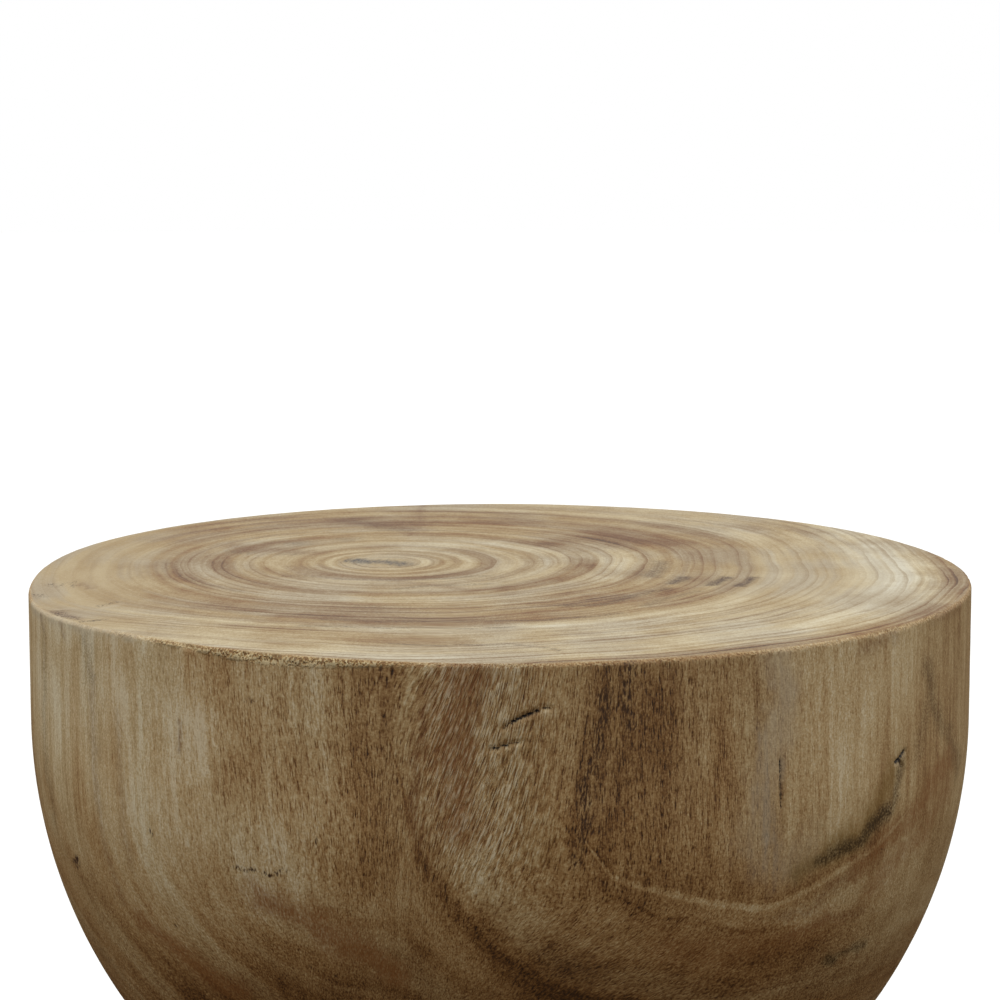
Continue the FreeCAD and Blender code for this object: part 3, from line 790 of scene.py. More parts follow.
        shade = add("Mix", {0: wood["calm"], 2: shade, 3: 0.37})
        # the broad tones hold painted shade low on the bowl
        broad = wood[Stain.TONE.value]
        wood["shade"] = add("Math", {0: broad, 1: 0.28, 2: shade}, operation="MULTIPLY_ADD")

    @staticmethod
    def look_up(add: Adder, place: bpy.types.NodeSocket, table: Stops) -> bpy.types.NodeSocket:
        """Reads a change of shade from a table.

        Args:
            add: The function that adds a node.
            place: The distance or radius to look up.
            table: Places with a change each, which a ramp holds moved up by a half.

        Returns:
            The change.
        """
        low, high = table[0][0], table[-1][0]
        share = add("MapRange", {0: place, 1: low, 2: high})
        stops = tuple(((at - low) / (high - low), 0.5 + change) for at, change in table)
        ramp = add("ValToRGB", {0: share}, stops=stops)
        return add("Math", {0: ramp, 1: -0.5}, operation="ADD")

    def ring_lines(self, add: Adder, wood: Sockets) -> None:
        """Late wood, which darkens towards a ring's sharp end, and thin dark rings at the bark.

        Where the waist and the foot cut the rings, they show as bands and thin lines.
        """
        wavy, end = wood["wavy"], wood["end_grain"]
        phase = add("Math", {0: wood["spread"], 1: 2.6}, operation="MULTIPLY")
        phase = add("Math", {0: wavy, 1: 1.0 / self.ring_width, 2: phase}, operation="MULTIPLY_ADD")
        late = add("Math", {0: phase}, operation="FRACT")
        late = add("MapRange", {0: late, 1: 0.6, 2: 1.0, 3: -0.10, 4: 0.46})
        late = add("Math", {0: late, 1: wood["lively"]}, operation="MULTIPLY")
        strong = add("MapRange", {0: wood["wide"], 1: 0.42, 2: 0.60, 3: 0.3, 4: 1.6})
        strong = add("Mix", {0: wood["calm"], 2: strong, 3: 0.0})
        strong = add("Math", {0: strong, 1: end}, operation="MULTIPLY")
        shade = add("Math", {0: late, 1: strong, 2: wood["shade"]}, operation="MULTIPLY_ADD")
        outer = self.look_up(add, wavy, self.bark_rings)
        shade = add("Math", {0: outer, 1: end, 2: shade}, operation="MULTIPLY_ADD")
        figured = add("Attribute", out="Fac", attribute_name="figured")
        cut = add("Math", {0: wood["ringed"], 1: -0.42}, operation="ADD")
        cut = add("Math", {0: late, 1: 0.9, 2: cut}, operation="MULTIPLY_ADD")
        wood["shade"] = add("Math", {0: cut, 1: figured, 2: shade}, operation="MULTIPLY_ADD")

    def fibres(self, add: Adder, wood: Sockets) -> None:
        """Light and shade of the standing fibres in the interlocked patch, and sparse open pores."""
        combed = wood["combed"]
        ridge = add("MapRange", {0: wood["groove"], 1: 0.32, 2: 0.68, 3: -0.36, 4: 0.36})
        ridge = add("Math", {0: ridge, 1: combed}, operation="MULTIPLY")
        shade = add("Math", {0: wood["shade"], 1: ridge}, operation="ADD")
        shade = add("Math", {0: combed, 1: -0.09, 2: shade}, operation="MULTIPLY_ADD")
        pores = add("MapRange", {0: wood["pore"], 1: 0.52, 2: 0.72, 3: -0.03, 4: 0.34})
        shown = add("Mix", {0: wood["slant"], 2: 1.0, 3: 0.5})
        shown = add("Mix", {0: wood["end_grain"], 2: shown, 3: 0.15})
        shown = add("Math", {0: combed, 1: -0.6, 2: shown}, operation="MULTIPLY_ADD", use_clamp=True)
        opened = add("Math", {0: pores, 1: shown}, operation="MULTIPLY")
        opened = add("Math", {0: opened, 1: wood["coarse"]}, operation="MULTIPLY")
        wood["shade"] = add("Math", {0: shade, 1: opened}, operation="ADD")
        wood["ridge"], wood["opened"] = ridge, opened

    def veins(self, add: Adder, wood: Sockets) -> None:
        """Lines along the rings, which change shade and warmth with the distance from them."""
        shade = wood["shade"]
        warmth = add("MapRange", {0: wood["wide"], 1: 0.38, 2: 0.62})
        warmth = add("Math", {0: wood["slant"], 1: 0.35, 2: warmth}, operation="MULTIPLY_ADD")
        warmth = add("Math", {0: wood["combed"], 1: 0.8, 2: warmth}, operation="MULTIPLY_ADD")
        green = add("Attribute", out="Fac", attribute_name="green")
        warmth = add("Math", {0: green, 1: -0.6, 2: warmth}, operation="MULTIPLY_ADD", use_clamp=True)
        shaken = add("MapRange", {0: wood["vessel"], 3: -self.vein_waver, 4: self.vein_waver})
        for vein in VEINS:
            gap = add("Attribute", out="Fac", attribute_name=vein.name)
            gap = add("Math", {0: gap, 1: shaken}, operation="ADD")
            change = self.look_up(add, gap, vein.tones)
            shade = add("Math", {0: shade, 1: change}, operation="ADD")
            redder = {0: change, 1: vein.redness, 2: warmth}
            warmth = add("Math", redder, operation="MULTIPLY_ADD", use_clamp=True)
        wood["shade"], wood["warmth"] = shade, warmth

    def ground_colour(self, add: Adder, wood: Sockets) -> None:
        """The bare wood: cool to warm browns on the side, golden to grey ones on the end grain."""
        shade = wood["shade"]
        cool = add("ValToRGB", {0: shade}, stops=self.ground)
        warm = add("ValToRGB", {0: shade}, stops=self.warm_ground)
        side = add("Mix", {0: wood["warmth"], 6: cool, 7: warm}, out=2, data_type="RGBA")
        golden = add("ValToRGB", {0: shade}, stops=self.golden_end)
        greyed = add("ValToRGB", {0: shade}, stops=self.grey_end)
        hue = add("Math", {0: wood["wide"], 1: wood["patch"]}, operation="ADD")
        hue = add("MapRange", {0: hue, 1: 0.85, 2: 1.15})
        sawn = add("Mix", {0: hue, 6: golden, 7: greyed}, out=2, data_type="RGBA")
        wood["colour"] = add("Mix", {0: wood["end_grain"], 6: side, 7: sawn}, out=2, data_type="RGBA")

    def stains(self, add: Adder, wood: Sockets) -> None:
        """Stains, which soak in along the fibres, so the grain breaks their edges, and painted shade
        inside the cracks.
        """
        colour = wood["colour"]
        for kind, paint, pattern, rough, low, high in self.paints:
            edge = {0: wood[pattern], 1: 0.3, 2: 0.7, 3: 1.0 - rough, 4: 1.0 + rough}
            cover = add("MapRange", edge, clamp=False)
            cover = add("Math", {0: wood[kind.value], 1: cover}, operation="MULTIPLY")
            cover = add("MapRange", {0: cover, 1: low, 2: high}, interpolation_type="SMOOTHSTEP")
            colour = add("Mix", {0: cover, 6: colour, 7: linear(paint)}, out=2, data_type="RGBA")
        wood["colour"] = colour

    def torn_rim(self, add: Adder, wood: Sockets) -> None:
        """The torn rim: a fringe of pale fibre ends, with the gaps between them darkened as painted shade.
        """
        torn = wood["torn"]
        lip = add("Attribute", out="Fac", attribute_name="lip")
        fringe = add("Math", {0: lip, 1: 0.11, 2: wood["tear"]}, operation="MULTIPLY_ADD")
        fringe = add("MapRange", {0: fringe, 1: 0.40, 2: 0.62})
        frayed = add("ValToRGB", {0: fringe}, stops=self.fibre_ends)
        wood["colour"] = add("Mix", {0: torn, 6: wood["colour"], 7: frayed}, out=2, data_type="RGBA")
        wood["pale"] = add("Math", {0: torn, 1: fringe}, operation="MULTIPLY", use_clamp=True)

    def surface(self, add: Adder, wood: Sockets) -> None:
        """The shader, with sunk vessels, raised fibres and a dull torn rim."""
        height = 0.0
        for pattern, rise in self.relief:
            height = add("Math", {0: wood[pattern], 1: rise, 2: height}, operation="MULTIPLY_ADD")
        bump = add("Bump", {"Height": height, "Distance": MM, "Strength": 1.0})
        low, high = self.roughness
        gloss = add("MapRange", {0: wood["fibre"], 3: low, 4: high})
        gloss = add("Math", {0: wood["torn"], 1: 0.25, 2: gloss}, operation="MULTIPLY_ADD", use_clamp=True)
        shader = add(
            "BsdfPrincipled",
            {"Base Color": wood["colour"], "Roughness": gloss, "Normal": bump, "IOR": 1.5},
        )
        add("OutputMaterial", {"Surface": shader})


@dataclass(frozen=True)
class Felt:
    """Needle-punched wool felt, cut in discs: a matt, hairy face with stray pale fibres."""

    name: str = "felt_needled"

    def material(self) -> bpy.types.Material:
        """Makes the material: a tangle of fibres about 0.3 mm wide in two browns."""
        material, graph = new_material(self.name)
        add = graph.add
        place = add("TexCoord", out="Object")
        tangle = add(
            "TexNoise",
            {"Vector": place, "Scale": 2200.0, "Detail": 4.0, "Roughness": 0.7, "Distortion": 1.5},
        )
        cloud = add("TexNoise", {"Vector": place, "Scale": 260.0, "Detail": 2.0})
        mixed = add("Math", {0: cloud, 1: 0.5, 2: tangle}, operation="MULTIPLY_ADD")
        colour = add(
            "ValToRGB", {0: mixed}, stops=((0.45, "#4A3F34"), (0.75, "#6E6152"), (0.95, "#A2937E"))
        )
        bump = add("Bump", {"Height": tangle, "Distance": 0.25 * MM, "Strength": 1.0})
        shader = add(
            "BsdfPrincipled",
            {"Base Color": colour, "Roughness": 0.95, "Normal": bump, "Sheen Weight": 0.4},
        )
        add("OutputMaterial", {"Surface": shader})
        return material


@dataclass(frozen=True)
class CupPlastic:
    """Polypropylene, injection moulded: dark brown, waxy, with a fine spark-eroded grain."""

    name: str = "polypropylene_moulded"

    def material(self) -> bpy.types.Material:
        """Makes the material: one brown with a 0.4 mm moulded texture and a soft gloss."""
        material, graph = new_material(self.name)
        add = graph.add
        place = add("TexCoord", out="Object")
        grit = add("TexNoise", {"Vector": place, "Scale": 2500.0, "Detail": 2.0})
        cloud = add("TexNoise", {"Vector": place, "Scale": 120.0, "Detail": 2.0})
        colour = add("ValToRGB", {0: cloud}, stops=((0.3, "#2B2018"), (0.7, "#3A2C21")))
        gloss = add("MapRange", {0: grit, 3: 0.42, 4: 0.62})
        bump = add("Bump", {"Height": grit, "Distance": 0.06 * MM, "Strength": 1.0})
        shader = add(
            "BsdfPrincipled",
            {"Base Color": colour, "Roughness": gloss, "Normal": bump, "IOR": 1.49},
        )
        add("OutputMaterial", {"Surface": shader})
        return material


@dataclass(frozen=True)
class NailSteel:
    """Zinc-plated drawn steel wire: pale grey metal with faint die lines along the shank."""

    name: str = "steel_wire_zinc_plated"

    def material(self) -> bpy.types.Material:
        """Makes the material: die lines 0.2 mm apart and cloudy plating."""
        material, graph = new_material(self.name)
        add = graph.add
        place = add("TexCoord", out="Object")
        drawn = add("VectorMath", {0: place, 1: (5000.0, 5000.0, 150.0)}, operation="MULTIPLY")
        lines = add("TexNoise", {"Vector": drawn, "Scale": 1.0, "Detail": 2.0})
        cloud = add("TexNoise", {"Vector": place, "Scale": 700.0, "Detail": 3.0})
        colour = add("ValToRGB", {0: cloud}, stops=((0.3, "#8F9293"), (0.7, "#BFC1C0")))
        gloss = add("MapRange", {0: lines, 3: 0.28, 4: 0.48})
        bump = add("Bump", {"Height": lines, "Distance": 0.02 * MM, "Strength": 1.0})
        shader = add(
            "BsdfPrincipled",
            {"Base Color": colour, "Roughness": gloss, "Normal": bump, "Metallic": 1.0},
        )
        add("OutputMaterial", {"Surface": shader})
        return material


def mesh_piece(
    name: str,
    points: np.ndarray,
    faces: Sequence[np.ndarray],
    material: bpy.types.Material,
    attributes: dict[str, np.ndarray] | None = None,
) -> bpy.types.Object:
    """Puts arrays into a smooth mesh object at the origin.

    Args:
        name: The piece's name.
        points: Vertices in millimetres, in the stool's own frame.
        faces: Arrays of triangles or quads, as rows of vertex numbers.
        material: The piece's finish.
        attributes: Values for each vertex, as numbers or rows of three.

    Returns:
        The new object, linked into the scene.
    """
    mesh = bpy.data.meshes.new(name)
    rows = [row for block in faces for row in block.tolist()]
    mesh.from_pydata((points * MM).tolist(), [], rows)
    mesh.polygons.foreach_set("use_smooth", np.ones(len(mesh.polygons), bool))
    for key, values in (attributes or {}).items():
        kind, field = ("FLOAT", "value") if values.ndim == 1 else ("FLOAT_VECTOR", "vector")
        layer = mesh.attributes.new(key, kind, "POINT")
        layer.data.foreach_set(field, values.astype(np.float32).ravel())
    mesh.materials.append(material)
    mesh.update()
    piece = bpy.data.objects.new(name, mesh)
    bpy.context.scene.collection.objects.link(piece)
    return piece


def hand_over(piece: bpy.types.Object, node: str) -> None:
    """Ties a piece to the frame's root body, hides the frame's node that it replaces, and reports it."""
    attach(piece, "root")
    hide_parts(node)
    count = sum(len(face.vertices) - 2 for face in piece.data.polygons)
    LOG.info("%s: %d vertices, %d triangles", piece.name, len(piece.data.vertices), count)


@dataclass(frozen=True)
class Ageing:
    """How sanding and use have worn the block."""

    # worn part of the rim: azimuth and half width in degrees, depth, reach inwards and down
    worn_azimuth: float = -76.0
    worn_width: float = 20.0
    worn_depth: float = 3.2
    worn_inwards: float = 47.0
    worn_down: float = 24.0
    # depths of the worn surface, with the cells of their noise: sanded all over, slow hollows,
    # ripples, chips out of the rim and cracks
    sanded_depth: float = 0.08
    hollow_depth: float = 0.22
    hollow_cell: float = 55.0
    ripple_depth: float = 0.06
    ripple_cell: float = 7.0
    chip_depth: float = 1.2
    chip_cell: float = 1.7
    chip_stretch: Triple = (1.0, 1.0, 0.45)
    chunk_cell: float = 7.5
    crack_depth: float = 1.3
    # the sole, whose normal points down further than this, isn't worn
    sole_tilt: float = -0.9


@dataclass(frozen=True)
class SurfaceGrid:
    """How closely the block's surface is divided."""

    # columns and rows of the surface, with steps across the seat's edge and under the rim
    columns: int = 512
    seat_gap: float = 2.0
    seat_steps: tuple[float, ...] = (4.6, 3.2, 2.0, 0.9)
    rim_steps: tuple[float, ...] = (0.6, 1.3, 2.1, 3.0, 4.0, 5.1)
    close_start: float = 6.1
    fine_top: float = 300.0
    rim_rows: int = 8
    plain_rows: int = 38
    foot_rows: int = 6
    # closeness of the columns: all round, more at the front between two turns, and at fine arcs
    column_close: Triple = (0.25, 0.38, 0.8)
    front_turn: Pair = (1.25, 1.6)
    close_arcs: tuple[Pair, ...] = ((6.0, 13.0), (99.5, 4.0), (160.0, 5.0))
    # closeness of the rows: everywhere, and at fine heights
    row_close: Pair = (0.52, 0.75)
    close_heights: tuple[Pair, ...] = ((428.0, 9.0), (404.5, 4.0), (374.0, 3.0))
    # samples of the closeness round the block and down it, and a step for slopes
    turn_samples: int = 8192
    row_samples: int = 4096
    slope_step: float = 0.01


@dataclass(frozen=True)
class FigureZones:
    """Where the wood's figure changes."""

    # figure: ends of soft steps over the normal's tilt, the arc or the height, and the centre
    # and half width of bell curves
    end_tilt: Pair = (0.75, 0.98)
    slant_tilt: Pair = (0.04, 0.28)
    combed_bell: Pair = (-6.0, 23.0)
    combed_rise: Pair = (355.0, 400.0)
    front_rise: Pair = (300.0, 330.0)
    front_fall: Pair = (225.0, 290.0)
    calm_left: Pair = (112.0, 150.0)
    calm_right_x: Pair = (112.0, 40.0)
    calm_right_y: Pair = (-5.0, 62.0)
    green_rise: Pair = (95.0, 160.0)
    green_fall: Pair = (240.0, 320.0)
    coarse_bell: Pair = (-10.0, 112.0)
    # a mark's line is shaken by slow and fine noise, as shares of its reach up to the loosest
    slow_cell: float = 14.0
    fine_cell: float = 3.5
    slow_shake: float = 0.30
    fine_shake: float = 0.22
    loosest: float = 12.0
    vein_shake: float = 0.8


@dataclass(frozen=True)
class TornRim:
    """Where the rim's fibres are torn."""

    # torn rim: where along the arc, its reach down the side and more of it at the peak, the
    # steps across the strip, its lip and the thin torn line of the rest of the rim
    torn_bell: Pair = (-82.0, 50.0)
    torn_peak: Pair = (-76.0, 30.0)
    torn_reach: Pair = (1.6, 2.8)
    torn_rise: Pair = (-1.2, 0.4)
    torn_fall_shares: Pair = (0.7, 1.2)
    torn_cell: float = 9.0
    lip_share: float = 0.8
    lip_width: float = 0.9
    edge_bell: Pair = (0.6, 1.5)
    edge_rise: Pair = (-195.0, -140.0)
    edge_height: float = 14.0
    edge_width: float = 12.0


@dataclass
class TurnedBlock:
    """The stool's one block of wood: seat, band, bowl, waist and foot."""

    top: float = 450.0
    sole: float = 5.9
    radius: float = 175.0
    band: float = 50.0
    bowl: float = 190.0
    sweep: float = 40.0
    rim_round: float = 2.0
    foot_round: float = 4.0
    age: Ageing = Ageing()
    grid: SurfaceGrid = SurfaceGrid()
    zones: FigureZones = FigureZones()
    frayed: TornRim = TornRim()
    wood: LogWood = LogWood()
    finish: TurnedWood = TurnedWood()

    def outline(self, height: np.ndarray) -> np.ndarray:
        """Radius of the turned side at a height.

        Band, bowl arc and waist arc follow each other and are mirrored about the
        middle height: the bowl's centre lies inside the axis, and the waist's arc
        takes over where the bowl has turned by its sweep.
        """
        middle = (self.top + self.sole) / 2.0
        away = np.abs(height - middle)
        bend = math.radians(self.sweep)
        edge = self.top - self.band - middle
        turn = edge - self.bowl * math.sin(bend)
        waist = turn / math.sin(bend)
        centre = self.radius - self.bowl + (self.bowl + waist) * math.cos(bend)
        fall = np.clip(edge - away, 0.0, self.bowl)
        bowl = self.radius - self.bowl + np.sqrt(self.bowl ** 2 - fall ** 2)
        neck = centre - np.sqrt(np.maximum(waist ** 2 - away ** 2, 0.0))
        return np.where(away > turn, bowl, neck)

    def azimuths(self, share: np.ndarray) -> np.ndarray:
        """Azimuth of a share of the circle, with columns close where the figure is fine.

        The running sum of a closeness over the circle is cut into equal steps.
        """
        grid = self.grid
        plain, front, fine = grid.column_close
        turn = np.linspace(-math.pi, math.pi, grid.turn_samples)
        arc = turn * self.radius
        close = plain + front * (1.0 - smooth(*grid.front_turn, np.abs(turn)))
        for centre, reach in grid.close_arcs:
            close = close + fine * bell(arc, centre, reach, 4)
        total = running_sum(close)
        return np.interp(share % 1.0, total / total[-1], turn)

    def heights(self) -> np.ndarray:
        """Heights of the close rows, from under the rim down to the plain rows."""
        grid = self.grid
        plain, fine = grid.row_close
        high = self.top - self.rim_round - grid.close_start
        level = np.linspace(high, grid.fine_top, grid.row_samples)
        close = np.full(level.shape, plain)
        for centre, reach in grid.close_heights:
            close = close + fine * bell(level, centre, reach, 4)
        total = running_sum(close)
        count = int(total[-1] * (high - grid.fine_top) / (len(level) - 1))
        return np.interp(np.linspace(0.0, total[-1], count), total, level)

    def disc(self, cells: int, radius: float) -> tuple[np.ndarray, np.ndarray, np.ndarray]:
        """A flat disc from a square grid.

        Each square ring of the grid becomes a circle of the same share of the
        radius, and the place along the square's side becomes the angle.

        Args:
            cells: Cells along the square's side.
            radius: The disc's radius.

        Returns:
            Points x and y, the quads, and the border's point numbers.
        """
        line = np.linspace(-1.0, 1.0, cells + 1)
        a, b = np.meshgrid(line, line)
        wide = np.abs(a) > np.abs(b)
        reach = np.where(wide, a, b)
        slope = np.where(wide, b, a) / np.where(reach == 0.0, 1.0, reach)
        angle = np.where(wide, slope * math.pi / 4.0, math.pi / 2.0 - slope * math.pi / 4.0)
        x, y = reach * np.cos(angle), reach * np.sin(angle)
        share = (np.arctan2(y, x) + 1.5 * math.pi) / (2.0 * math.pi)
        azimuth, far = self.azimuths(share), np.hypot(x, y) * radius
        points = np.stack([far * np.sin(azimuth), -far * np.cos(azimuth)], axis=-1).reshape(-1, 2)
        number = np.arange((cells + 1) ** 2).reshape(cells + 1, cells + 1)
        quads = np.stack(
            [number[:-1, :-1], number[:-1, 1:], number[1:, 1:], number[1:, :-1]], axis=-1
        ).reshape(-1, 4)
        border = np.concatenate(
            [number[0, :-1], number[:-1, -1], number[-1, :0:-1], number[:0:-1, 0]]
        )
        return points, quads, border

    def rows(self) -> tuple[list[int], np.ndarray]:
        """The turned rows from the seat's edge to the sole.

        Returns:
            The columns of each row, and for each row its radius, its height and
            the outward normal's radial and upright parts.
        """
        grid = self.grid
        seat = self.radius - self.rim_round
        flat = seat - np.array(grid.seat_steps)
        rim = np.radians(np.linspace(0.0, 90.0, grid.rim_rows))
        under = self.top - self.rim_round - np.array(grid.rim_steps)
        close = self.heights()
        plain = np.linspace(grid.fine_top, self.sole + self.foot_round, grid.plain_rows)[1:]
        foot = np.radians(np.linspace(90.0, 0.0, grid.foot_rows))[1:-1]
        side = np.concatenate([under, close, plain])
        step = grid.slope_step
        slope = (self.outline(side + step) - self.outline(side - step)) / (2.0 * step)
        steep = np.hypot(1.0, slope)
        parts = (
            (flat, np.full_like(flat, self.top), np.zeros_like(flat), np.ones_like(flat)),
            (
                seat + self.rim_round * np.sin(rim),
                self.top - self.rim_round + self.rim_round * np.cos(rim),
                np.sin(rim),
                np.cos(rim),
            ),
            (self.outline(side), side, 1.0 / steep, -slope / steep),
            (
                self.radius - self.foot_round + self.foot_round * np.sin(foot),
                self.sole + self.foot_round - self.foot_round * np.cos(foot),
                np.sin(foot),
                -np.cos(foot),
            ),
        )
        table = np.concatenate([np.stack(part, axis=1) for part in parts])
        counts = [2 * grid.columns] * (len(flat) + len(rim) + len(under))
        counts += [grid.columns] * len(close)
        counts += [grid.columns // 2] * (len(plain) + len(foot))
        return counts, table

    def shell(self) -> tuple[np.ndarray, np.ndarray, list[np.ndarray]]:
        """The closed surface: seat disc, turned rows and sole disc.

        Rows of equal columns are joined by quads, and where the columns halve or
        double, by three triangles for each pair.

        Returns:
            Points, outward normals and the arrays of faces.
        """
        grid = self.grid
        counts, table = self.rows()
        first_share = 0.375  # where the border of a disc starts, at its grid's first corner
        seat, quads, border = self.disc(grid.columns // 4, float(table[0, 0]) - grid.seat_gap)
        points = [np.column_stack([seat, np.full(len(seat), self.top)])]
        normals = [np.tile((0.0, 0.0, 1.0), (len(seat), 1))]
        faces, last, used = [quads], border, len(seat)
        for count, (radius, height, out, up) in zip(counts, table):
            azimuth = self.azimuths(first_share + np.arange(count) / count)
            sin, cos = np.sin(azimuth), np.cos(azimuth)
            points.append(np.stack([radius * sin, -radius * cos, np.full(count, height)], axis=1))
            normals.append(np.stack([out * sin, -out * cos, np.full(count, up)], axis=1))
            row = used + np.arange(count)
            faces += self.join(last, row)
            last, used = row, used + count
        sole, quads, border = self.disc(grid.columns // 8, self.radius - self.foot_round)
        points.append(np.column_stack([sole, np.full(len(sole), self.sole)]))
        normals.append(np.tile((0.0, 0.0, -1.0), (len(sole), 1)))
        faces += [used + quads[:, ::-1], *self.join(last, used + border)]
        return np.concatenate(points), np.concatenate(normals), faces

    @staticmethod
    def join(upper: np.ndarray, lower: np.ndarray) -> list[np.ndarray]:
        """Faces between two rows of points, the upper or inner one first."""
        upper_next, lower_next = np.roll(upper, -1), np.roll(lower, -1)
        if len(upper) == len(lower):
            return [np.stack([upper, lower, lower_next, upper_next], axis=1)]
        if len(upper) < len(lower):
            first, middle, second = lower[::2], lower[1::2], np.roll(lower[::2], -1)
            return [
                np.stack([upper, first, middle], axis=1),
                np.stack([upper, middle, upper_next], axis=1),
                np.stack([upper_next, middle, second], axis=1),
            ]
        first, middle, second = upper[::2], upper[1::2], np.roll(upper[::2], -1)
        return [
            np.stack([first, lower, middle], axis=1),
            np.stack([middle, lower, lower_next], axis=1),
            np.stack([middle, lower_next, second], axis=1),
        ]

    def figure(self, points: np.ndarray, normals: np.ndarray) -> dict[str, np.ndarray]:
        """The wood's figure at each vertex, for the finish to read.

        Args:
            points: Vertices before wear.
            normals: Their outward normals.

        Returns:
            By name: the stains, with painted shade in the tone low on the bowl and in
            the cracks, the ring, the straightened grain, the distance above each vein,
            and shares from 0 to 1: end_grain, slant where fibres are cut at a slant,
            combed in the interlocked patch, figured where rings show on the waist and
            the foot, torn and lip at the rim, calm on the seat, green on the right, and
            coarse where vessels are open.
        """
        zones = self.zones
        arc = np.arctan2(points[:, 0], -points[:, 1]) * self.radius
        height, tilt = points[:, 2], np.abs(normals[:, 2])
        end = smooth(*zones.end_tilt, tilt)
        side, seat = 1.0 - end, end * (height > self.grid.fine_top)
        slow = [lattice_noise(points, zones.slow_cell, seed) for seed in (Seed.SLOW_ACROSS, Seed.SLOW_UP)]
        fine = [lattice_noise(points, zones.fine_cell, seed) for seed in (Seed.FINE_ACROSS, Seed.FINE_UP)]
        slow, fine = np.stack(slow, axis=1), np.stack(fine, axis=1)
        shake = zones.slow_shake * slow + zones.fine_shake * fine
        on_side = np.stack([arc, height], axis=1)
        figure = {kind.value: np.zeros(len(points)) for kind in Stain}
        for table, at, share in ((SIDE_MARKS, on_side, side), (TOP_MARKS, points[:, :2], seat)):
            for stain, marks in table.items():
                layer = figure[stain.value]
                blend = np.add if stain is Stain.TONE else np.maximum
                for mark in marks:
                    moved = at + min(mark.reach, zones.loosest) * shake
                    cover = 1.0 - smooth(0.0, mark.reach, gap_to(moved, mark.path))
                    blend(layer, cover * mark.strength * share, out=layer)
        for vein in VEINS:
            figure[vein.name] = vein.distance(on_side + zones.vein_shake * slow)
        figure["ring"] = self.wood.ring(points)
        figure["grain"] = self.wood.grain(points, arc)
        figure["end_grain"] = end
        figure["slant"] = smooth(*zones.slant_tilt, tilt)
        figure["combed"] = bell(arc, *zones.combed_bell, 4) * smooth(*zones.combed_rise, height) * side
        front = smooth(*zones.front_rise, height) * (1.0 - smooth(*zones.front_fall, np.abs(arc)))
        figure["figured"] = 0.75 * figure["slant"] * side * (1.0 - front)
        figure["torn"], figure["lip"] = self.torn(points, arc)
        left = 0.6 * smooth(*zones.calm_left, -points[:, 0])
        right = bell(points[:, 0], *zones.calm_right_x, 4) * bell(points[:, 1], *zones.calm_right_y, 4)
        figure["calm"] = seat * (left + 0.45 * right)
        figure["green"] = window(arc, zones.green_rise, zones.green_fall) * side
        figure["coarse"] = 0.35 + 0.65 * bell(arc, *zones.coarse_bell, 4)
        return figure

    def torn(self, points: np.ndarray, arc: np.ndarray) -> tuple[np.ndarray, np.ndarray]:
        """How much the rim's fibres are torn, and the pale lip under the torn strip.

        The strip is widest at one place, and patchy along the rim. Elsewhere only a
        bell curve across the edge is torn.
        """
        frayed = self.frayed
        radius = np.hypot(points[:, 0], points[:, 1])
        down = self.top - points[:, 2]
        across = down - (self.radius - radius)
        rim = (down < frayed.edge_height) & (radius > self.radius - frayed.edge_width)
        patchy = 0.5 + 0.5 * lattice_noise(points, frayed.torn_cell, Seed.PATCHY)
        near = bell(arc, *frayed.torn_bell, 4)
        least, more = frayed.torn_reach
        reach = least + more * bell(arc, *frayed.torn_peak)
        fall = tuple(share * reach for share in frayed.torn_fall_shares)
        strip = near * window(across, frayed.torn_rise, fall) * (0.6 + 0.4 * patchy)
        lip = near * bell(across, frayed.lip_share * reach, frayed.lip_width)
        loose = 0.18 + 0.27 * smooth(*frayed.edge_rise, arc)
        edge = (1.0 - near) * bell(across, *frayed.edge_bell) * loose * patchy
        return rim * (strip + edge), rim * lip

    def wear(self, points: np.ndarray, figure: dict[str, np.ndarray]) -> np.ndarray:
        """Depth of the worn surface under the true one, never above it.

        Hand sanding leaves slow hollows, the rim has lost chips of fibre where a
        sum of two noises passes a level, and cracks are open grooves.
        """
        age = self.age
        hollow = 0.5 + 0.5 * lattice_noise(points, age.hollow_cell, Seed.HOLLOW)
        ripple = 0.5 + 0.5 * lattice_noise(points, age.ripple_cell, Seed.RIPPLE)
        chip = lattice_noise(points * age.chip_stretch, age.chip_cell, Seed.CHIP)
        chunk = lattice_noise(points, age.chunk_cell, Seed.CHUNK)
        chips = smooth(-0.1, 0.9, 0.6 * chip + 0.6 * chunk) * figure["torn"]
        depth = age.sanded_depth + age.hollow_depth * hollow + age.ripple_depth * ripple
        return depth + age.chip_depth * chips + age.crack_depth * figure[Stain.CRACK.value]

    def rim_loss(self, points: np.ndarray) -> np.ndarray:
        """Height lost at the worn part of the rim.

        A bell curve over the azimuth, times soft steps outwards over the seat and up
        the band.
        """
        age = self.age
        radius = np.hypot(points[:, 0], points[:, 1])
        azimuth = np.degrees(np.arctan2(points[:, 0], -points[:, 1]))
        near = bell(azimuth, age.worn_azimuth, age.worn_width)
        outwards = smooth(self.radius - age.worn_inwards, self.radius, radius)
        upwards = smooth(self.top - age.worn_down, self.top, points[:, 2])
        return age.worn_depth * near * outwards * upwards

    def build(self) -> None:
        """Makes the block, wears it and hands it over."""
        points, normals, faces = self.shell()
        figure = self.figure(points, normals)
        depth = self.wear(points, figure)
        depth = np.where(normals[:, 2] < self.age.sole_tilt, 0.0, depth)
        worn = points - normals * depth[:, None]
        worn[:, 2] -= self.rim_loss(points)
        piece = mesh_piece("turned_block_wood", worn, faces, self.finish.material(), figure)
        hand_over(piece, "turned_block")


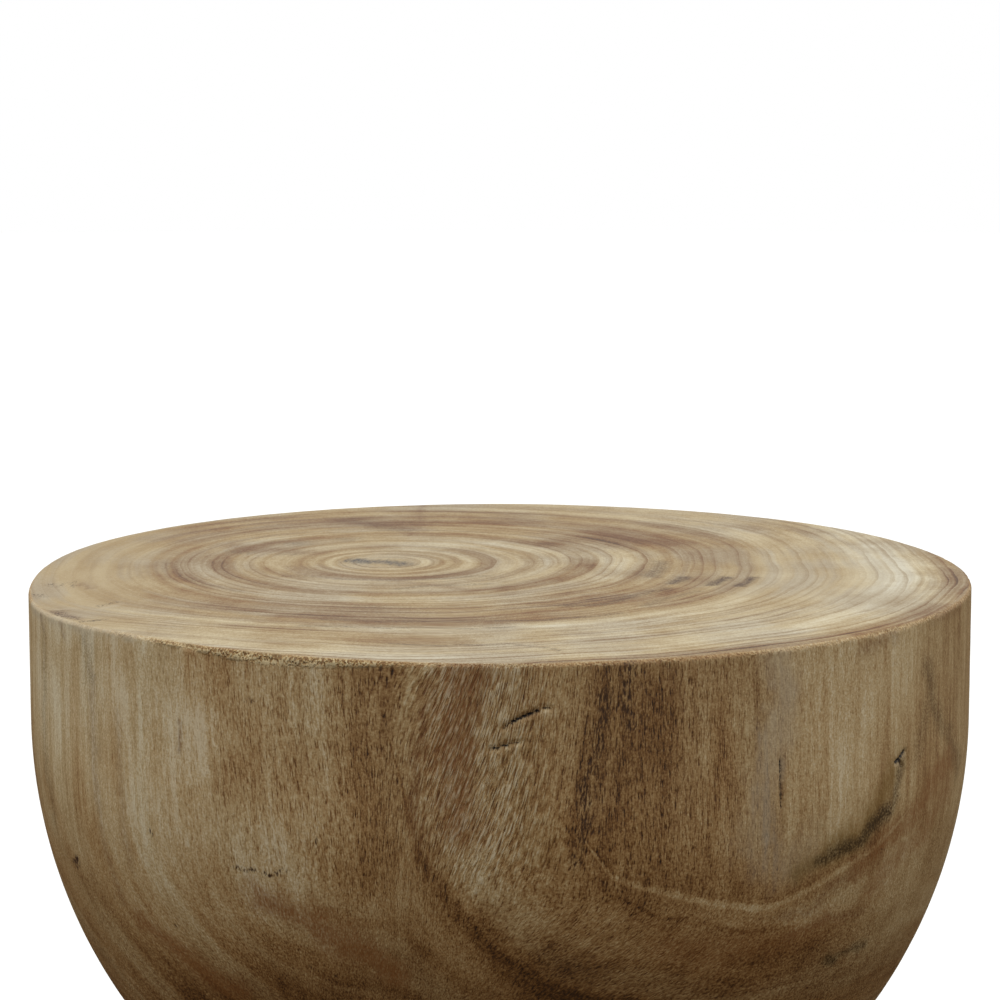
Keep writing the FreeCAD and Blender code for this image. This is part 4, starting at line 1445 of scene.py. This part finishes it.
def lathe(
    profile: np.ndarray, centre: Pair, segments: int
) -> tuple[np.ndarray, list[np.ndarray]]:
    """Turns a profile round an upright axis.

    Every point of the profile, a radius and a height, becomes a ring. The first
    and last rings are closed by a pole if they lie on the axis, and are joined to
    each other if the profile returns to its start.

    Args:
        profile: Rows of radius and height, in order along the outside.
        centre: Where the axis stands.
        segments: Points in a ring.

    Returns:
        Points and arrays of faces.
    """
    turn = np.linspace(0.0, 2.0 * math.pi, segments, endpoint=False)
    poles = profile[0, 0] == 0.0
    rings = profile[1:-1] if poles else profile
    x = centre[0] + rings[:, :1] * np.cos(turn)
    y = centre[1] + rings[:, :1] * np.sin(turn)
    z = np.broadcast_to(rings[:, 1:], x.shape)
    points = np.stack([x, y, z], axis=-1).reshape(-1, 3)
    number = np.arange(len(points)).reshape(len(rings), segments)
    below = number if not poles else number[:-1]
    above = np.roll(number, -1, axis=0) if not poles else number[1:]
    faces = [
        np.stack(
            [below, np.roll(below, -1, axis=1), np.roll(above, -1, axis=1), above], axis=-1
        ).reshape(-1, 4)
    ]
    if poles:
        tips = np.array([[*centre, profile[0, 1]], [*centre, profile[-1, 1]]])
        first = np.full(segments, len(points))
        points = np.concatenate([points, tips])
        faces.append(np.stack([first, np.roll(number[0], -1), number[0]], axis=1))
        faces.append(np.stack([first + 1, number[-1], np.roll(number[-1], -1)], axis=1))
    return points, faces


def rounded(corners: Sequence[Triple], closed: bool) -> np.ndarray:
    """A profile with its corners rounded.

    Each corner is a radius, a height and a round. The round is cut back along
    both legs by its size, and a quadratic curve with the corner as its control
    point joins the two cuts in a few steps.

    Args:
        corners: The profile's corners in order.
        closed: Whether the last corner is joined to the first.

    Returns:
        Rows of radius and height.
    """
    places = np.array([corner[:2] for corner in corners])
    before, after = np.roll(places, 1, axis=0), np.roll(places, -1, axis=0)
    parts = []
    for index, (here, size) in enumerate(zip(places, [corner[2] for corner in corners])):
        outer = index in (0, len(places) - 1) and not closed
        if size == 0.0 or outer:
            parts.append(here[None])
            continue
        start = here + (before[index] - here) * size / np.linalg.norm(before[index] - here)
        stop = here + (after[index] - here) * size / np.linalg.norm(after[index] - here)
        t = np.linspace(0.0, 1.0, ROUND_STEPS + 1)[:, None]
        parts.append((1 - t) ** 2 * start + 2 * t * (1 - t) * here + t ** 2 * stop)
    return np.concatenate(parts)


@dataclass
class Glide:
    """One of the four glides under the foot: a felt pad in a cup, held by a nail."""

    number: int
    circle: float = 135.0
    segments: int = 96
    felt_radius: float = 10.0
    felt_height: float = 3.5
    felt_round: float = 0.7
    felt_edge: float = 0.3
    felt_margin: float = 1.0
    # the felt's loss at its rim and its pressed depth, by hairs and by slow swells
    hair_cell: float = 0.9
    swell_cell: float = 4.0
    felt_inset: Pair = (0.16, 0.10)
    felt_press: Pair = (0.12, 0.18)
    cup_radius: float = 12.0
    pocket_radius: float = 10.2
    cup_mouth: float = 1.5
    cup_top: float = 5.9
    head_radius: float = 2.75
    seat_radius: float = 2.85
    head_top: float = 4.6
    shank_radius: float = 1.0
    hole_radius: float = 1.04
    shoulder: float = 19.6
    point: float = 22.6
    nail_segments: int = 48

    def centre(self) -> Pair:
        """Where the glide's axis stands."""
        angle = math.radians(90.0 * self.number - 45.0)
        return self.circle * math.cos(angle), self.circle * math.sin(angle)

    def felt(self, finish: bpy.types.Material) -> None:
        """Makes the pad: a disc with soft edges and a pressed, uneven face."""
        r, top = self.felt_radius, self.felt_height
        corners = ((0.0, 0.0, 0.0), (r, 0.0, self.felt_round), (r, top, self.felt_edge), (0.0, top, 0.0))
        profile = rounded(corners, closed=False)
        face = np.linspace(0.0, r - self.felt_round, 9)[1:-1]
        back = np.linspace(r - self.felt_edge, 0.0, 6)[1:-1]
        face = np.stack([face, np.zeros_like(face)], axis=1)
        back = np.stack([back, np.full_like(back, top)], axis=1)
        profile = np.concatenate([profile[:1], face, profile[1:-1], back, profile[-1:]])
        points, faces = lathe(profile, self.centre(), self.segments)
        offset = points[:, :2] - self.centre()
        hair = 0.5 + 0.5 * lattice_noise(points, self.hair_cell, Seed.FELT_HAIR + self.number)
        swell = 0.5 + 0.5 * lattice_noise(points, self.swell_cell, Seed.FELT_SWELL + self.number)
        inset = (self.felt_inset[0] * hair + self.felt_inset[1] * swell) / r
        points[:, :2] = np.array(self.centre()) + offset * (1.0 - inset)[:, None]
        pressed = self.felt_press[0] * hair + self.felt_press[1] * swell
        pressed = pressed * (1.0 - points[:, 2] / top)
        points[:, 2] += np.where(np.hypot(*offset.T) < r - self.felt_margin, pressed, 0.0)
        piece = mesh_piece(f"felt_pad_{self.number}_felt", points, faces, finish)
        hand_over(piece, f"felt_pad_{self.number}")

    def cup(self, finish: bpy.types.Material) -> None:
        """Makes the cup: a moulded ring with a seat for the nail's head in its floor."""
        corners = (
            (self.hole_radius, self.head_top, 0.0),
            (self.hole_radius, self.cup_top, 0.0),
            (self.cup_radius, self.cup_top, 0.3),
            (self.cup_radius, self.cup_mouth, 0.8),
            (self.pocket_radius, self.cup_mouth, 0.3),
            (self.pocket_radius, self.felt_height, 0.15),
            (self.seat_radius, self.felt_height, 0.1),
            (self.seat_radius, self.head_top, 0.0),
        )
        profile = rounded(corners, closed=True)[::-1]
        points, faces = lathe(profile, self.centre(), self.segments)
        piece = mesh_piece(f"glide_cup_{self.number}_moulding", points, faces, finish)
        hand_over(piece, f"glide_cup_{self.number}")

    def nail(self, finish: bpy.types.Material) -> None:
        """Makes the nail: a rounded head, a drawn shank and a four-sided cut point."""
        corners = (
            (0.0, self.felt_height, 0.0),
            (self.head_radius, self.felt_height, 0.25),
            (self.head_radius, self.head_top, 0.25),
            (self.shank_radius, self.head_top, 0.0),
            (self.shank_radius, self.shoulder, 0.2),
            (0.0, self.point, 0.0),
        )
        points, faces = lathe(rounded(corners, closed=False), self.centre(), self.nail_segments)
        piece = mesh_piece(f"glide_nail_{self.number}_wire", points, faces, finish)
        hand_over(piece, f"glide_nail_{self.number}")


@dataclass
class Studio:
    """Camera, pale floor and an even white dome of light."""

    eye: Triple = (0.0, -1.300, 0.6714)
    tilt: float = 8.49
    focal_pixels: float = 3527.0
    image_pixels: float = 1000.0
    sensor: float = 36.0
    floor_radius: float = 8.0
    floor_sides: int = 96
    floor_glow: float = 0.22
    horizon: float = 0.06
    even_light: float = 0.12
    side_light: float = 0.8
    overhead_light: float = 1.0

    def build(self) -> None:
        """Sets up the light, the floor and the camera."""
        bpy.context.scene.view_settings.view_transform = "Standard"
        self.light()
        self.floor()
        self.camera()

    def camera(self) -> None:
        """Stands the camera at the photograph's viewing angle."""
        data = bpy.data.cameras.new("camera")
        data.sensor_width = self.sensor
        data.lens = self.focal_pixels * self.sensor / self.image_pixels
        data.clip_end = 100.0
        camera = bpy.data.objects.new("camera", data)
        camera.location = self.eye
        camera.rotation_euler = (math.radians(90.0 - self.tilt), 0.0, 0.0)
        bpy.context.scene.collection.objects.link(camera)
        bpy.context.scene.camera = camera

    def light(self) -> None:
        """A white dome, brightest overhead and at both sides, and a dim warm glow from below."""
        world = bpy.data.worlds.new("studio")
        world.use_nodes = True
        world.node_tree.nodes.clear()
        graph = Graph(world.node_tree)
        add = graph.add
        way = add("TexCoord", out="Generated")
        sideways = add("SeparateXYZ", {0: way}, out="X")
        height = add("SeparateXYZ", {0: way}, out="Z")
        walls = add("Math", {0: sideways, 1: sideways}, operation="MULTIPLY")
        walls = add("Math", {0: walls, 1: self.side_light, 2: self.even_light}, operation="MULTIPLY_ADD")
        dome = add("Math", {0: height, 1: self.overhead_light, 2: walls}, operation="MULTIPLY_ADD")
        share = add("MapRange", {0: height, 1: -self.horizon, 2: self.horizon})
        glow = add("Mix", {0: share, 6: linear("#2E2018"), 7: dome}, out=2, data_type="RGBA")
        seen = add("LightPath", out="Is Camera Ray")
        shown = add("Mix", {0: seen, 6: glow, 7: (1.0, 1.0, 1.0, 1.0)}, out=2, data_type="RGBA")
        shader = add("Background", {"Color": shown, "Strength": 1.0})
        add("OutputWorld", {"Surface": shader})
        bpy.context.scene.world = world

    def floor(self) -> None:
        """A round pale floor that is clear from below and sends no light back up."""
        turn = np.linspace(0.0, 2.0 * math.pi, self.floor_sides, endpoint=False)
        rim = np.stack([np.cos(turn), np.sin(turn), np.zeros_like(turn)], axis=1)
        material, graph = new_material("studio_floor_painted")
        add = graph.add
        below = add("NewGeometry", out="Backfacing")
        paint = add("BsdfDiffuse", {"Color": linear("#F6F6F4")})
        glow = add("Emission", {"Color": (1.0, 1.0, 1.0, 1.0), "Strength": self.floor_glow})
        lit = add("AddShader", {0: paint, 1: glow})
        clear = add("BsdfTransparent")
        shader = add("MixShader", {0: below, 1: lit, 2: clear})
        add("OutputMaterial", {"Surface": shader})
        points, face = rim * self.floor_radius / MM, np.arange(self.floor_sides)[None]
        floor = mesh_piece("studio_floor", points, [face], material)
        floor.visible_diffuse = False
        floor.visible_glossy = False


def main() -> None:
    """Builds the studio and the stool."""
    logging.basicConfig(level=logging.INFO, format="%(name)s: %(message)s")
    Studio().build()
    TurnedBlock().build()
    felt, plastic, steel = Felt().material(), CupPlastic().material(), NailSteel().material()
    for number in range(1, 5):
        glide = Glide(number)
        glide.felt(felt)
        glide.cup(plastic)
        glide.nail(steel)


if __name__ == "__main__":
    main()
